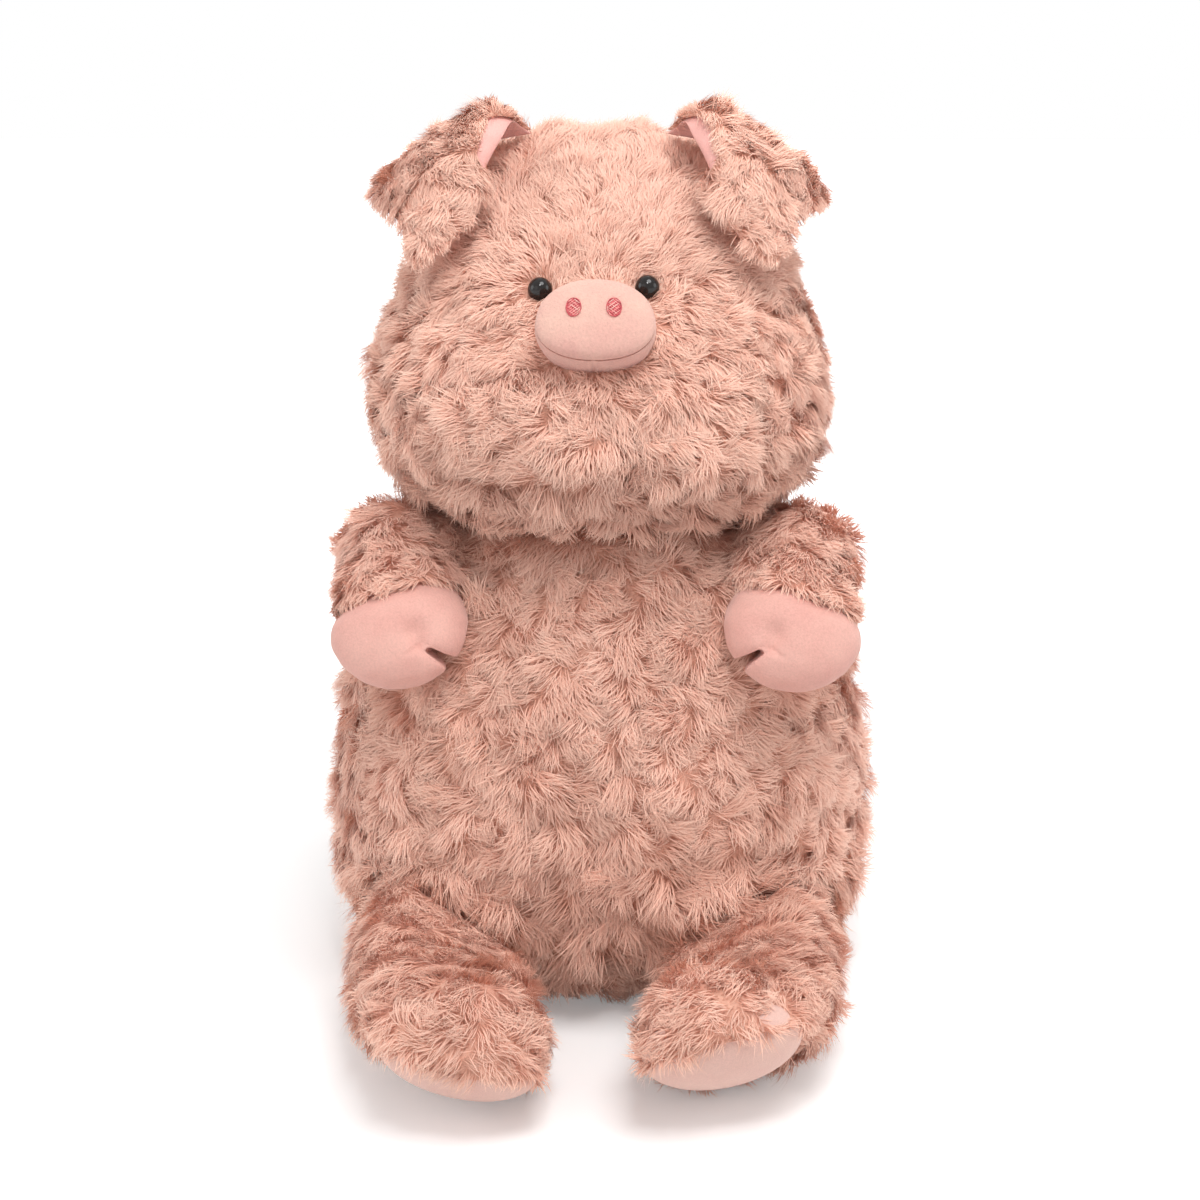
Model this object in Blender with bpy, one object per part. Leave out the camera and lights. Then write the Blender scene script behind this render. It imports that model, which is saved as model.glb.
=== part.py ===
"""Sitting plush pig: sewn covers over their stuffing, safety eyes and soft joints.

Metres, +Z up. The pig looks along -Y, so its left side is at +X.
The origin is the centre of the flat seat that it sits on.
"""
import math

import bmesh
import bpy
from mathutils import Matrix, Vector
from mathutils.bvhtree import BVHTree

# Cloth and clearances
pile_thickness = 0.009       # long-pile plush: backing and pile together
skin_thickness = 0.002       # short-pile fabric of hooves, soles, snout and linings
seam_wall = 0.002            # the pile is pressed flat where a limb meets the body
seam_gap = 0.0003            # clearance between two pieces that are sewn or pressed together
stuffing_gap = 0.0004        # clearance between a cover and its stuffing
level_step = 0.00004         # keeps turned copies of a flat face from lying in one plane
seat_cut = 0.0005            # how deep the weight flattens the seat and the legs

# Body, between the floor and the neck seam
neck_height = 0.253
body_width = 0.287
body_front = 0.117
body_back = 0.103
neck_radius = 0.055
body_profile_shares = (      # height, width, front, back
    (-0.002, 0.64, 0.50, 0.55),
    (0.024, 0.81, 0.70, 0.75),
    (0.071, 0.913, 0.83, 0.85),
    (0.158, 0.979, 0.93, 0.93),
    (0.277, 1.0, 0.985, 0.98),
    (0.415, 0.997, 1.0, 1.0),
    (0.553, 0.972, 0.983, 0.99),
    (0.672, 0.927, 0.94, 0.96),
    (0.790, 0.850, 0.872, 0.91),
    (0.889, 0.753, 0.786, 0.835),
    (0.960, 0.650, 0.69, 0.75),
    (1.0, 0.502, 0.538, 0.583),
)

# Head, between the neck seam and the crown
head_height = 0.185
head_width = 0.236
head_front = 0.130
head_back = 0.090
head_profile_shares = (      # height, width, front, back
    (0.0, 0.66, 0.64, 0.72),
    (0.032, 0.80, 0.78, 0.82),
    (0.086, 0.907, 0.90, 0.90),
    (0.162, 0.975, 0.977, 0.956),
    (0.254, 1.0, 1.0, 0.989),
    (0.362, 0.983, 0.962, 1.0),
    (0.470, 0.932, 0.869, 1.0),
    (0.578, 0.856, 0.742, 0.978),
    (0.686, 0.801, 0.608, 0.922),
    (0.795, 0.703, 0.462, 0.811),
    (0.892, 0.559, 0.300, 0.633),
    (0.957, 0.373, 0.146, 0.422),
    (0.992, 0.169, 0.031, 0.200),
)
form_sides = 24
lining_sides = 12
form_roundness = 2.25        # exponent of the rounded outline, 2 is an ellipse

# Arms: a ball root in the shoulder, a sleeve and a cleft hoof
arm_length = 0.100
sleeve_radius = 0.0325
cuff_depth = 0.0280          # half the sleeve's depth at the cuff
sleeve_flare_share = 0.90    # how much wider the sleeve is at the cuff
hoof_width = 0.066
hoof_thickness = 0.045
hoof_length = 0.050
cleft_length = 0.018
cleft_width = 0.0045
shoulder_shares = (0.613, -0.256, 0.865)       # of half body width, body front, neck height
arm_path_shares = ((0.12, -0.26, 0.10), (0.09, -0.53, -0.025))
cuff_facing_shares = (-0.30, -0.40, -0.86)     # square to the cuff's edge
cuff_shift_share = 0.07                        # of arm_length, past the wrist
hoof_lean_shares = (-0.20, -0.63, -0.75)       # the way that the hoof points
hoof_profile_shares = ((0.23, 0.91, 1.0), (0.48, 1.0, 0.99), (0.68, 0.88, 0.85),
                       (0.85, 0.64, 0.60), (0.96, 0.32, 0.30))
cleft_centre_shares = (-0.42, 0.70)            # of half hoof width, of hoof length
cleft_turn = 32.0
arm_swing_limit = 30.0
arm_sides = 18
arm_lining_sides = 9

# Legs: a ball root at the hip and an oval sole that looks down and outward
leg_length = 0.137
leg_radius = 0.040
hip_shares = (0.575, -0.565, 0.1561)           # of half body width, body front, neck height
leg_path_shares = (      # inward, ahead, rise towards the sole, half width, half height
    (-0.03, -0.30, 0.0, 1.15, 0.93),
    (-0.08, -0.56, 0.3, 1.22, 0.90),
    (-0.125, -0.78, 0.8, 1.22, 0.87),
)
leg_turn_shares = (0.0, 0.15, 0.55)            # of the turn from straight ahead to the sole
sole_inward_share = -0.160
sole_length = 0.080
sole_width = 0.057
sole_height = 0.0330                           # of the middle of the sole over the floor
sole_dome = 0.003
sole_facing_shares = (0.28, -0.65, -0.707)
sole_long_axis_shares = (-0.93, -0.10, -0.28)
sole_seam_inset = 0.006                        # how far the leg narrows inside its sole
leg_roundness = 2.4                            # exponent of the leg's rounded outline
leg_spread_limit = 15.0
leg_sides = 20
leg_lining_sides = 10

# Ears: a flap that folds over and hangs in front of the side of the head
ear_span = 0.090
ear_drop = 0.050
ear_reach = 0.054
ear_bearing = 40.0                             # degrees from straight up to the ear's root
ear_forward_share = 0.115                      # of head_front, forward of the neck axis
ear_lift_limit = 30.0
ear_columns_shares = (   # per column: span and drop of the root, the fold and the tip
    ((-0.35, -0.23), (-0.33, -0.04), (-0.03, -0.36)),
    ((-0.17, -0.06), (-0.24, 0.19), (0.14, -0.55)),
    ((0.0, 0.0), (0.0, 0.26), (0.50, -0.55)),
    ((0.17, -0.06), (0.25, 0.32), (0.545, -0.21)),
    ((0.35, -0.23), (0.53, 0.27), (0.60, 0.04)),
)
ear_fold_reach_shares = (0.39, 0.44, 0.42, 0.28, 0.07)
ear_tip_reach_shares = (0.74, 0.98, 1.11, 0.74, 0.42)

# Snout: a padded oval that looks up and forward
snout_width = 0.054
snout_height = 0.0395
snout_depth = 0.0145
snout_dome = 0.0035
snout_tilt = 30.0
snout_height_share = 0.515                     # of head_height
snout_sink = 0.012
snout_sides = 24
nostril_width = 0.0056
nostril_height = 0.0086
nostril_spacing = 0.018
nostril_rise = 0.0036
nostril_thickness = 0.0010
nostril_recess = 0.0005

# Safety eyes
eye_diameter = 0.0112
eye_spacing = 0.049
eye_height_share = 0.622                       # of head_height
eye_dome_height = 0.0066
eye_seat_depth = 0.0042
eye_stem_radius = 0.0018
eye_stem_ridge = 0.0003
eye_stem_length = 0.0125
eye_stem_ridges = 2
washer_radius = 0.0070
washer_thickness = 0.0016
washer_drop = 0.0009
turned_sides = 14

# Tail: a small stuffed curl at the back
tail_height_share = 0.30                       # of neck_height
tail_radius = 0.0068
tail_tip_radius = 0.0042
tail_curl_radius = 0.0115
tail_curl_turns = 1.35
tail_curl_pitch = 0.019
tail_start = 0.010
tail_sides = 10
tail_steps = 18

ball_sides = 16
root_steps = 3
facet_share = 1.0 / math.cos(math.pi / ball_sides) ** 2
fine_ball_sides = 28
fine_facet_share = 1.0 / math.cos(math.pi / fine_ball_sides) ** 2
corner_share = 0.15                            # of a layer's thickness, left at its edges

colours = {
    "plush": (0.75, 0.44, 0.33), "skin": (0.86, 0.50, 0.43), "thread": (0.78, 0.16, 0.17),
    "stuffing": (0.88, 0.87, 0.84), "black": (0.012, 0.011, 0.010), "clear": (0.75, 0.75, 0.72),
}
roughness_shares = {"plush": 0.95, "skin": 0.9, "thread": 0.6, "stuffing": 1.0, "black": 0.08,
                    "clear": 0.4}


# Scene helpers

def clear_scene():
    for item in list(bpy.data.objects):
        bpy.data.objects.remove(item)


def make_material(name, finish):
    material = bpy.data.materials.new(name)
    material.use_nodes = True
    shader = material.node_tree.nodes["Principled BSDF"]
    shader.inputs["Base Color"].default_value = (*colours[finish], 1.0)
    shader.inputs["Roughness"].default_value = roughness_shares[finish]
    return material


def add_object(name, bm, finish=None):
    """A mesh object from a closed bmesh, with its faces turned outward."""
    bmesh.ops.recalc_face_normals(bm, faces=bm.faces)
    mesh = bpy.data.meshes.new(name)
    bm.to_mesh(mesh)
    bm.free()
    mesh.shade_smooth()
    item = bpy.data.objects.new(name, mesh)
    bpy.context.scene.collection.objects.link(item)
    if finish is None:
        item.hide_render = True
        item.display_type = 'WIRE'
    else:
        mesh.set_sharp_from_angle(angle=math.radians(40))
        mesh.materials.append(make_material(name, finish))
    return item


def join_by(item, operation, *others):
    for other in others:
        step = item.modifiers.new(operation.lower() + "_" + other.name, 'BOOLEAN')
        step.operation = operation
        step.object = other
    return item


def cut(item, *cutters):
    return join_by(item, 'DIFFERENCE', *cutters)


def set_pivot(name, place, children):
    """An empty on a joint's axis that carries the pieces that turn with it."""
    pivot = bpy.data.objects.new(name, None)
    pivot.location = place
    pivot.empty_display_size = sleeve_radius
    bpy.context.scene.collection.objects.link(pivot)
    for child in children:
        child.parent = pivot
        child.matrix_parent_inverse = Matrix.Translation(place).inverted()


# Shapes

def outline(sides, roundness):
    """Unit points round a rounded outline, from +X towards +Y."""
    points = []
    for step in range(sides):
        angle = 2 * math.pi * step / sides
        across, along = math.cos(angle), math.sin(angle)
        points.append((math.copysign(abs(across) ** (2 / roundness), across),
                       math.copysign(abs(along) ** (2 / roundness), along)))
    return points


def add_patch(bm, first, second, third, fourth):
    """Two triangles, always split the same way so that nested skins stay apart."""
    bm.faces.new((first, second, third))
    bm.faces.new((first, third, fourth))


def stack_rows(bm, rows):
    for lower, upper in zip(rows, rows[1:]):
        for step in range(len(lower)):
            after = (step + 1) % len(lower)
            add_patch(bm, lower[step], lower[after], upper[after], upper[step])


def loft(rings, start_pole=None, end_pole=None):
    """A closed skin through rings of points, ended by poles or flat caps."""
    bm = bmesh.new()
    rows = [[bm.verts.new(point) for point in ring] for ring in rings]
    stack_rows(bm, rows)
    for row, pole in ((rows[0], start_pole), (rows[-1], end_pole)):
        if pole is None:
            bm.faces.new(row)
            continue
        tip = bm.verts.new(pole)
        for step in range(len(row)):
            bm.faces.new((row[step], row[(step + 1) % len(row)], tip))
    return bm


def section(centre, across, along, half_across, half_along, sides, roundness=2.0):
    """One ring of a limb: an outline in the plane of two unit directions."""
    return [centre + across * (half_across * u) + along * (half_along * v)
            for u, v in outline(sides, roundness)]


def swell(bm, distance):
    """Moves a closed skin outward by an even distance."""
    bmesh.ops.recalc_face_normals(bm, faces=bm.faces)
    bm.normal_update()
    moves = [vert.normal * (distance * vert.calc_shell_factor()) for vert in bm.verts]
    for vert, move in zip(bm.verts, moves):
        vert.co += move
    return bm


def ball(name, centres, radius, sides=ball_sides):
    """One cutter of equal balls, one at each centre."""
    bm = bmesh.new()
    for centre in centres:
        bmesh.ops.create_uvsphere(bm, u_segments=sides, v_segments=sides // 2,
                                  radius=radius, matrix=Matrix.Translation(centre))
    return add_object(name, bm)


def turned(profile, place, facing, sides):
    """A closed turned shape: radius and distance along its axis, from pole to pole."""
    turn = facing.to_track_quat('Z', 'Y')
    rings = [[place + turn @ Vector((radius * u, radius * v, along))
              for u, v in outline(sides, 2.0)] for radius, along in profile[1:-1]]
    poles = [place + turn @ Vector((0, 0, profile[end][1])) for end in (0, -1)]
    return loft(rings, poles[0], poles[1])


def half_space(name, place, facing, reach):
    """A block that fills everything ahead of a plane."""
    bm = bmesh.new()
    turn = facing.to_track_quat('Z', 'Y').to_matrix().to_4x4()
    middle = place + facing * reach
    bmesh.ops.create_cube(bm, size=2 * reach, matrix=Matrix.Translation(middle) @ turn)
    return add_object(name, bm)


def direction(shares, side=1):
    return Vector((shares[0] * side, shares[1], shares[2])).normalized()


# Body and head forms

def stacked_form(base, height, width, front, back, profile, sides):
    """A stuffed form of level rings, wider at the front or back as it needs."""
    rings = []
    for level, width_share, front_share, back_share in profile:
        ring = []
        for u, v in outline(sides, form_roundness):
            depth = v * (back * back_share if v > 0 else front * front_share)
            ring.append(Vector((u * width_share * width / 2, depth, base + level * height)))
        rings.append(ring)
    return rings


def body_form(distance=0.0, sides=form_sides):
    rings = stacked_form(0.0, neck_height - seam_gap, body_width, body_front, body_back,
                         body_profile_shares, sides)
    return swell(loft(rings), distance)


def head_form(distance=0.0, sides=form_sides):
    rings = stacked_form(neck_height, head_height, head_width, head_front, head_back,
                         head_profile_shares, sides)
    crown = Vector((0, 0, neck_height + head_height))
    return swell(loft(rings, None, crown), distance)


def neck_plug(name, radius, low, high):
    bm = bmesh.new()
    place = Matrix.Translation((0, 0, (low + high) / 2))
    bmesh.ops.create_cone(bm, cap_ends=True, segments=form_sides, radius1=radius,
                          radius2=radius, depth=high - low, matrix=place)
    return add_object(name, bm)


def shoulder(side):
    across, ahead, up = shoulder_shares
    return Vector((side * across * body_width / 2, ahead * body_front, up * neck_height))


def hip(side):
    across, ahead, up = hip_shares
    return Vector((side * across * body_width / 2, ahead * body_front, up * neck_height))


def surface_point(form, start, heading):
    """Where a straight line meets a form, and the way that the form faces there."""
    bmesh.ops.recalc_face_normals(form, faces=form.faces)
    form.normal_update()
    tree = BVHTree.FromBMesh(form)
    place, normal, _, _ = tree.ray_cast(start, heading)
    return place, normal


def fine_radius(radius):
    """Radius of a fine ball that holds all of a ball root, corners too."""
    corner = pile_thickness * (1 / math.cos(math.pi / (4 * root_steps)) - 1)
    return (radius + corner) * fine_facet_share


def ball_radius(radius, distance):
    """Radius of the room that a ball root turns in."""
    return (fine_radius(radius) + distance) * facet_share


def root_rooms(level, distance, arm_radius, leg_radius_here, tail_room):
    """Cutters for the rooms that the limbs' roots turn in."""
    return (ball("arm_room_" + level, [shoulder(side) for side in (-1, 1)],
                 ball_radius(arm_radius, distance)),
            ball("leg_room_" + level, [hip(side) for side in (-1, 1)],
                 ball_radius(leg_radius_here, distance)),
            ball("tail_room_" + level, [tail_root()], ball_radius(tail_radius, tail_room)))


def tail_root():
    low = Vector((0, 2 * body_back, tail_height_share * neck_height))
    place, normal = surface_point(body_form(), low, Vector((0, -1, 0)))
    return place + normal * (tail_radius / 2)


def floor_block():
    reach = body_width
    return half_space("floor_block", Vector((0, 0, 0)), Vector((0, 0, -1)), reach)


def make_body(floor):
    inner = pile_thickness + stuffing_gap
    overrun = pile_thickness
    opening = neck_plug("body_neck_opening", neck_radius, neck_height - 3 * overrun,
                        neck_height + overrun)
    cavity = add_object("body_cavity", body_form(-pile_thickness, lining_sides))
    join_by(cavity, 'UNION', opening)
    cut(cavity, *root_rooms("cavity", seam_gap + pile_thickness, sleeve_radius, leg_radius,
                            seam_gap + pile_thickness))
    cover = add_object("body_cover", body_form(), "plush")
    cut(cover, *root_rooms("cover", seam_gap, sleeve_radius, leg_radius, seam_gap), cavity,
        floor)
    neck = neck_plug("body_neck_stuffing", neck_radius - stuffing_gap, neck_height - 3 * overrun,
                     neck_height - seam_gap)
    filling = add_object("body_filling", body_form(-inner, lining_sides), "stuffing")
    join_by(filling, 'UNION', neck)
    cut(filling, *root_rooms("filling", seam_gap + inner, sleeve_radius, leg_radius,
                             seam_gap + inner))
    return cover, filling


# Eyes and snout, on the face

def eye_place(side):
    level = neck_height + eye_height_share * head_height
    start = Vector((side * eye_spacing / 2, -2 * head_front, level))
    return surface_point(head_form(), start, Vector((0, 1, 0)))


def eye_profile():
    radius = eye_diameter / 2
    seat = -eye_seat_depth
    points = [(0, seat - eye_stem_length), (eye_stem_radius, seat - eye_stem_length)]
    pitch = eye_stem_length / (2 * eye_stem_ridges + 1)
    for ridge in range(1, 2 * eye_stem_ridges + 1):
        grow = eye_stem_ridge if ridge % 2 else 0
        points.append((eye_stem_radius + grow, seat - eye_stem_length + ridge * pitch))
    points += [(eye_stem_radius, seat), (radius * 0.97, seat)]
    steps = 6
    for step in range(steps):
        angle = math.pi / 2 * step / steps
        points.append((radius * math.cos(angle), seat + eye_dome_height * (0.2 + 0.8 *
                       math.sin(angle))))
    points.append((0, seat + eye_dome_height))
    return points


def make_eye(name, side, head_cover, head_filling):
    place, facing = eye_place(side)
    eye = add_object("eye_" + name, turned(eye_profile(), place, facing, turned_sides), "black")
    hole = eye_stem_radius + eye_stem_ridge + seam_gap
    back = -pile_thickness - washer_drop
    deep = -eye_seat_depth - eye_stem_length - seam_gap
    rim = eye_diameter / 2 + seam_gap
    seat = -eye_seat_depth - seam_gap
    room = washer_radius + seam_gap
    seat_profile = [(0, deep), (room, deep), (room, back + seam_gap), (hole, back + seam_gap),
                    (hole, seat), (rim, seat), (rim, pile_thickness), (0, pile_thickness)]
    seat_cutter = add_object("eye_seat_" + name,
                             turned(seat_profile, place, facing, turned_sides))
    room_profile = [(0, deep), (hole, deep), (hole, back - washer_thickness - seam_gap),
                    (room, back - washer_thickness - seam_gap), (room, 0), (0, 0)]
    room_cutter = add_object("eye_room_" + name,
                             turned(room_profile, place, facing, turned_sides))
    cut(head_cover, seat_cutter)
    cut(head_filling, room_cutter)
    washer_turn = facing.to_track_quat('Z', 'Y')
    bm = bmesh.new()
    rows = []
    for radius, along in ((hole, back), (washer_radius, back),
                          (washer_radius, back - washer_thickness),
                          (hole, back - washer_thickness)):
        rows.append([bm.verts.new(place + washer_turn @ Vector((radius * u, radius * v, along)))
                     for u, v in outline(turned_sides, 2.0)])
    stack_rows(bm, rows + rows[:1])
    washer = add_object("eye_washer_" + name, bm, "clear")
    return [eye, washer]


def snout_frame():
    """Place, facing and upward direction of the snout's seam with the face."""
    tilt = math.radians(snout_tilt)
    level = neck_height + snout_height_share * head_height
    start = Vector((0, -2 * head_front, level))
    place, _ = surface_point(head_form(), start, Vector((0, 1, 0)))
    facing = Vector((0, -math.cos(tilt), math.sin(tilt)))
    upward = Vector((0, math.sin(tilt), math.cos(tilt)))
    return place, facing, upward


def snout_ring(along, size_share, inset=0.0):
    """One oval of the snout, a little narrower above than below."""
    place, facing, upward = snout_frame()
    taper_share = 0.07
    half_width = snout_width / 2 * size_share - inset
    half_height = snout_height / 2 * size_share - inset
    ring = []
    for u, v in outline(snout_sides, 2.2):
        point = place + facing * along + upward * (half_height * v)
        point.x += half_width * u * (1 - taper_share * v)
        ring.append(point)
    return ring


def make_snout(head_block):
    place, facing, upward = snout_frame()
    root = -snout_sink
    levels = ((root, 0.93), (0, 0.965), (snout_depth / 2, 1.0), (snout_depth, 0.955))
    outer = [snout_ring(along, share) for along, share in levels]
    inner = [snout_ring(along, share, skin_thickness) for along, share in levels]
    band_bm = bmesh.new()
    rows = [[band_bm.verts.new(point) for point in ring] for ring in outer + inner[::-1]]
    stack_rows(band_bm, rows + rows[:1])
    band = add_object("snout_band", band_bm, "skin")
    cut(band, head_block)

    front = snout_depth + seam_gap
    dome_shares = ((0.0, 0.94), (0.34, 0.93), (0.62, 0.80), (0.86, 0.55), (0.97, 0.27))
    face_rings = [snout_ring(front + snout_dome * rise, share) for rise, share in dome_shares]
    flat_back = [snout_ring(front, 0.6)]
    face = add_object("snout_face", loft(flat_back + face_rings, None,
                                         place + facing * (front + snout_dome)), "skin")
    filling_levels = ((root, 0.93), (0, 0.965), (snout_depth / 2, 1.0),
                      (snout_depth - seam_gap, 0.955))
    gap = skin_thickness + stuffing_gap
    filling = add_object("snout_filling", loft([snout_ring(along, share, gap)
                                                for along, share in filling_levels]), "stuffing")
    cut(filling, head_block)

    pieces = [band, face, filling]
    face_tree_form = loft(flat_back + face_rings, None, place + facing * (front + snout_dome))
    for name, side in (("right", -1), ("left", 1)):
        over = place + upward * nostril_rise + facing * (2 * snout_depth)
        over.x = side * nostril_spacing / 2
        spot, normal = surface_point(face_tree_form, over, -facing)
        across = Vector((1, 0, 0))
        across = (across - normal * across.dot(normal)).normalized()
        along = normal.cross(across)
        half_width, half_height = nostril_width / 2, nostril_height / 2

        def oval(height, share, grow=0.0):
            return section(spot + normal * height, across, along, half_width * share + grow,
                           half_height * share + grow, turned_sides)

        bed = -nostril_recess
        top = bed + nostril_thickness
        stitches = add_object("nostril_" + name, loft(
            [oval(bed, 1.0), oval(bed + nostril_thickness / 2, 0.97), oval(top, 0.55)], None,
            spot + normal * (top + nostril_thickness / 5)), "thread")
        recess = add_object("nostril_recess_" + name, loft(
            [oval(bed - seam_gap, 1.0, seam_gap), oval(snout_dome, 1.0, seam_gap)]))
        cut(face, recess)
        pieces.append(stitches)
    face_tree_form.free()
    return pieces


def make_head():
    inner = pile_thickness + stuffing_gap
    overrun = pile_thickness
    opening = neck_plug("head_neck_opening", neck_radius, neck_height - overrun,
                        neck_height + 3 * overrun)
    cavity = add_object("head_cavity", head_form(-pile_thickness, lining_sides))
    join_by(cavity, 'UNION', opening)
    cover = add_object("head_cover", head_form(), "plush")
    cut(cover, cavity)
    neck = neck_plug("head_neck_stuffing", neck_radius - stuffing_gap, neck_height + seam_gap,
                     neck_height + 3 * overrun)
    filling = add_object("head_filling", head_form(-inner, lining_sides), "stuffing")
    join_by(filling, 'UNION', neck)
    return cover, filling


# Ears

def ear_frame(side):
    """Hinge centre, the way along the hinge, the way out of the head, and forward."""
    bearing = math.radians(ear_bearing)
    middle = Vector((0, -ear_forward_share * head_front, neck_height + head_height / 2))
    out = Vector((side * math.sin(bearing), 0, math.cos(bearing)))
    place, _ = surface_point(head_form(), middle + out * head_width, -out)
    along = Vector((side * math.cos(bearing), 0, -math.sin(bearing)))
    lift = (pile_thickness + skin_thickness) / 2
    return place + out * lift, along, out, Vector((0, -1, 0))


def smooth_curve(points, count):
    """Points spread along a smooth line through the given ones."""
    padded = [2 * points[0] - points[1], *points, 2 * points[-1] - points[-2]]
    result = []
    for step in range(count):
        reach = step / (count - 1) * (len(points) - 1)
        index = min(int(reach), len(points) - 2)
        t = reach - index
        a, b, c, d = padded[index:index + 4]
        result.append(0.5 * (2 * b + (c - a) * t + (2 * a - 5 * b + 4 * c - d) * t * t
                             + (3 * b - a - 3 * c + d) * t ** 3))
    return result


def ear_sheet(side, columns=8, rows=11):
    """The ear's middle surface: one curved line for each column, root to tip."""
    place, along, out, ahead = ear_frame(side)
    lines = []
    for (root, fold, tip), fold_reach, tip_reach in zip(
            ear_columns_shares, ear_fold_reach_shares, ear_tip_reach_shares):
        def at(span, drop, reach):
            return (place + along * (span * ear_span) + out * (drop * ear_drop)
                    + ahead * (reach * ear_reach))
        half_way = [(start + end) / 2 for start, end in zip(root, fold)]
        knee_share = 0.30
        knee = [start + (end - start) * knee_share for start, end in zip(fold, tip)]
        knee_reach = fold_reach + (tip_reach - fold_reach) * 0.55
        lines.append(smooth_curve([at(*root, 0), at(*half_way, fold_reach / 4),
                                   at(*fold, fold_reach),
                                   at(*knee, knee_reach), at(*tip, tip_reach)], rows))
    sheet = [smooth_curve(list(row), columns) for row in zip(*lines)]
    return sheet


def sheet_normals(sheet, side):
    rows, columns = len(sheet), len(sheet[0])
    normals = []
    for row in range(rows):
        line = []
        for column in range(columns):
            down = sheet[min(row + 1, rows - 1)][column] - sheet[max(row - 1, 0)][column]
            across = sheet[row][min(column + 1, columns - 1)] - sheet[row][max(column - 1, 0)]
            line.append(side * down.cross(across).normalized())
        normals.append(line)
    return normals


def sheet_layer(name, sheet, normals, near, far, finish):
    """A padded layer between two distances from a surface, thin along its edges."""
    rows, columns = len(sheet), len(sheet[0])
    bm = bmesh.new()
    skins = []
    for full in (near, far):
        skin = []
        for row in range(rows):
            line = []
            for column in range(columns):
                inside = min(1, 2.5 * min(row, rows - 1 - row) / (rows - 1))
                within = min(1, 2.5 * min(column, columns - 1 - column) / (columns - 1))
                fullness = math.sqrt(math.sin(math.pi / 2 * inside)
                                     * math.sin(math.pi / 2 * within))
                share = corner_share + (1 - corner_share) * fullness
                offset = near + (full - near) * share
                line.append(bm.verts.new(sheet[row][column] + normals[row][column] * offset))
            skin.append(line)
        skins.append(skin)
    for skin in skins:
        for row in range(rows - 1):
            for column in range(columns - 1):
                add_patch(bm, skin[row][column], skin[row][column + 1],
                          skin[row + 1][column + 1], skin[row + 1][column])
    edge = ([(0, column) for column in range(columns)]
            + [(row, columns - 1) for row in range(1, rows)]
            + [(rows - 1, column) for column in range(columns - 2, -1, -1)]
            + [(row, 0) for row in range(rows - 2, 0, -1)])
    for (row, column), (next_row, next_column) in zip(edge, edge[1:] + edge[:1]):
        add_patch(bm, skins[0][row][column], skins[0][next_row][next_column],
                  skins[1][next_row][next_column], skins[1][row][column])
    return add_object(name, bm, finish)


def make_ear(name, side):
    sheet = ear_sheet(side)
    normals = sheet_normals(sheet, side)
    plush = sheet_layer("ear_outer_" + name, sheet, normals, 0.0, pile_thickness, "plush")
    lining = sheet_layer("ear_lining_" + name, sheet, normals, -seam_gap,
                         -seam_gap - skin_thickness, "skin")
    place, along, _, _ = ear_frame(side)
    block = add_object("head_block_ear_" + name, head_form(seam_gap))
    turns = 2
    for step in range(1, turns + 1):
        # Seen from the lifted ear, the head turns the other way
        turn = Matrix.Rotation(math.radians(ear_lift_limit) * side * step / turns, 4, along)
        turned_block = add_object("head_block_ear_" + name + "_" + str(step),
                                  head_form(seam_gap))
        turned_block.matrix_world = Matrix.Translation(place) @ turn @ Matrix.Translation(-place)
        join_by(block, 'UNION', turned_block)
    for layer in (plush, lining):
        cut(layer, block)
    return [plush, lining]


# Limbs

def limb_rings(root, root_radius, stations, sides, roundness=2.0):
    """A ball root, then the stations: centre, across, along, half sizes."""
    first = stations[0]
    heading = (first[0] - root).normalized()
    across = (first[1] - heading * first[1].dot(heading)).normalized()
    along = heading.cross(across)
    rings = []
    for step in range(1, root_steps + 1):
        angle = math.pi / 2 * step / root_steps
        rings.append(section(root - heading * (root_radius * math.cos(angle)), across, along,
                             root_radius * math.sin(angle), root_radius * math.sin(angle),
                             sides))
    for centre, across, along, half_across, half_along in stations:
        rings.append(section(centre, across, along, half_across, half_along, sides,
                             roundness))
    return rings, root - heading * root_radius


def arm_path(side):
    """The elbow, the middle of the cuff and the way that the hoof points."""
    root = shoulder(side)
    elbow, cuff = [root + Vector((side * x, y, z)) * arm_length for x, y, z in arm_path_shares]
    return elbow, cuff, direction(hoof_lean_shares, side)


def arm_core(side, distance=0.0, sides=arm_sides):
    """The arm's stuffed form, root to hoof tip, before its covers are put on."""
    root = shoulder(side)
    core = sleeve_radius - pile_thickness
    elbow, cuff, lean = arm_path(side)
    sideways = Vector((side, 0, 0))
    forearm = (cuff - elbow).normalized()
    sizes = [(elbow, (elbow - root).normalized() + forearm, core, core),
             (cuff, forearm + 2 * lean, core * sleeve_flare_share,
              cuff_depth - pile_thickness)]
    for reach, width_share, depth_share in hoof_profile_shares:
        sizes.append((cuff + lean * (reach * hoof_length), lean,
                      (hoof_width / 2 - skin_thickness) * width_share,
                      (hoof_thickness / 2 - skin_thickness) * depth_share))
    stations = []
    for centre, heading, half_width, half_depth in sizes:
        heading = heading.normalized()
        across = (sideways - heading * sideways.dot(heading)).normalized()
        stations.append((centre, across, heading.cross(across), half_width, half_depth))
    rings, pole = limb_rings(root, core, stations, sides)
    tip = cuff + lean * (hoof_length - skin_thickness)
    return swell(loft(rings, pole, tip), distance)


def cuff_plane(side):
    _, cuff, _ = arm_path(side)
    facing = direction(cuff_facing_shares, side)
    return cuff + facing * (cuff_shift_share * arm_length), facing


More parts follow.
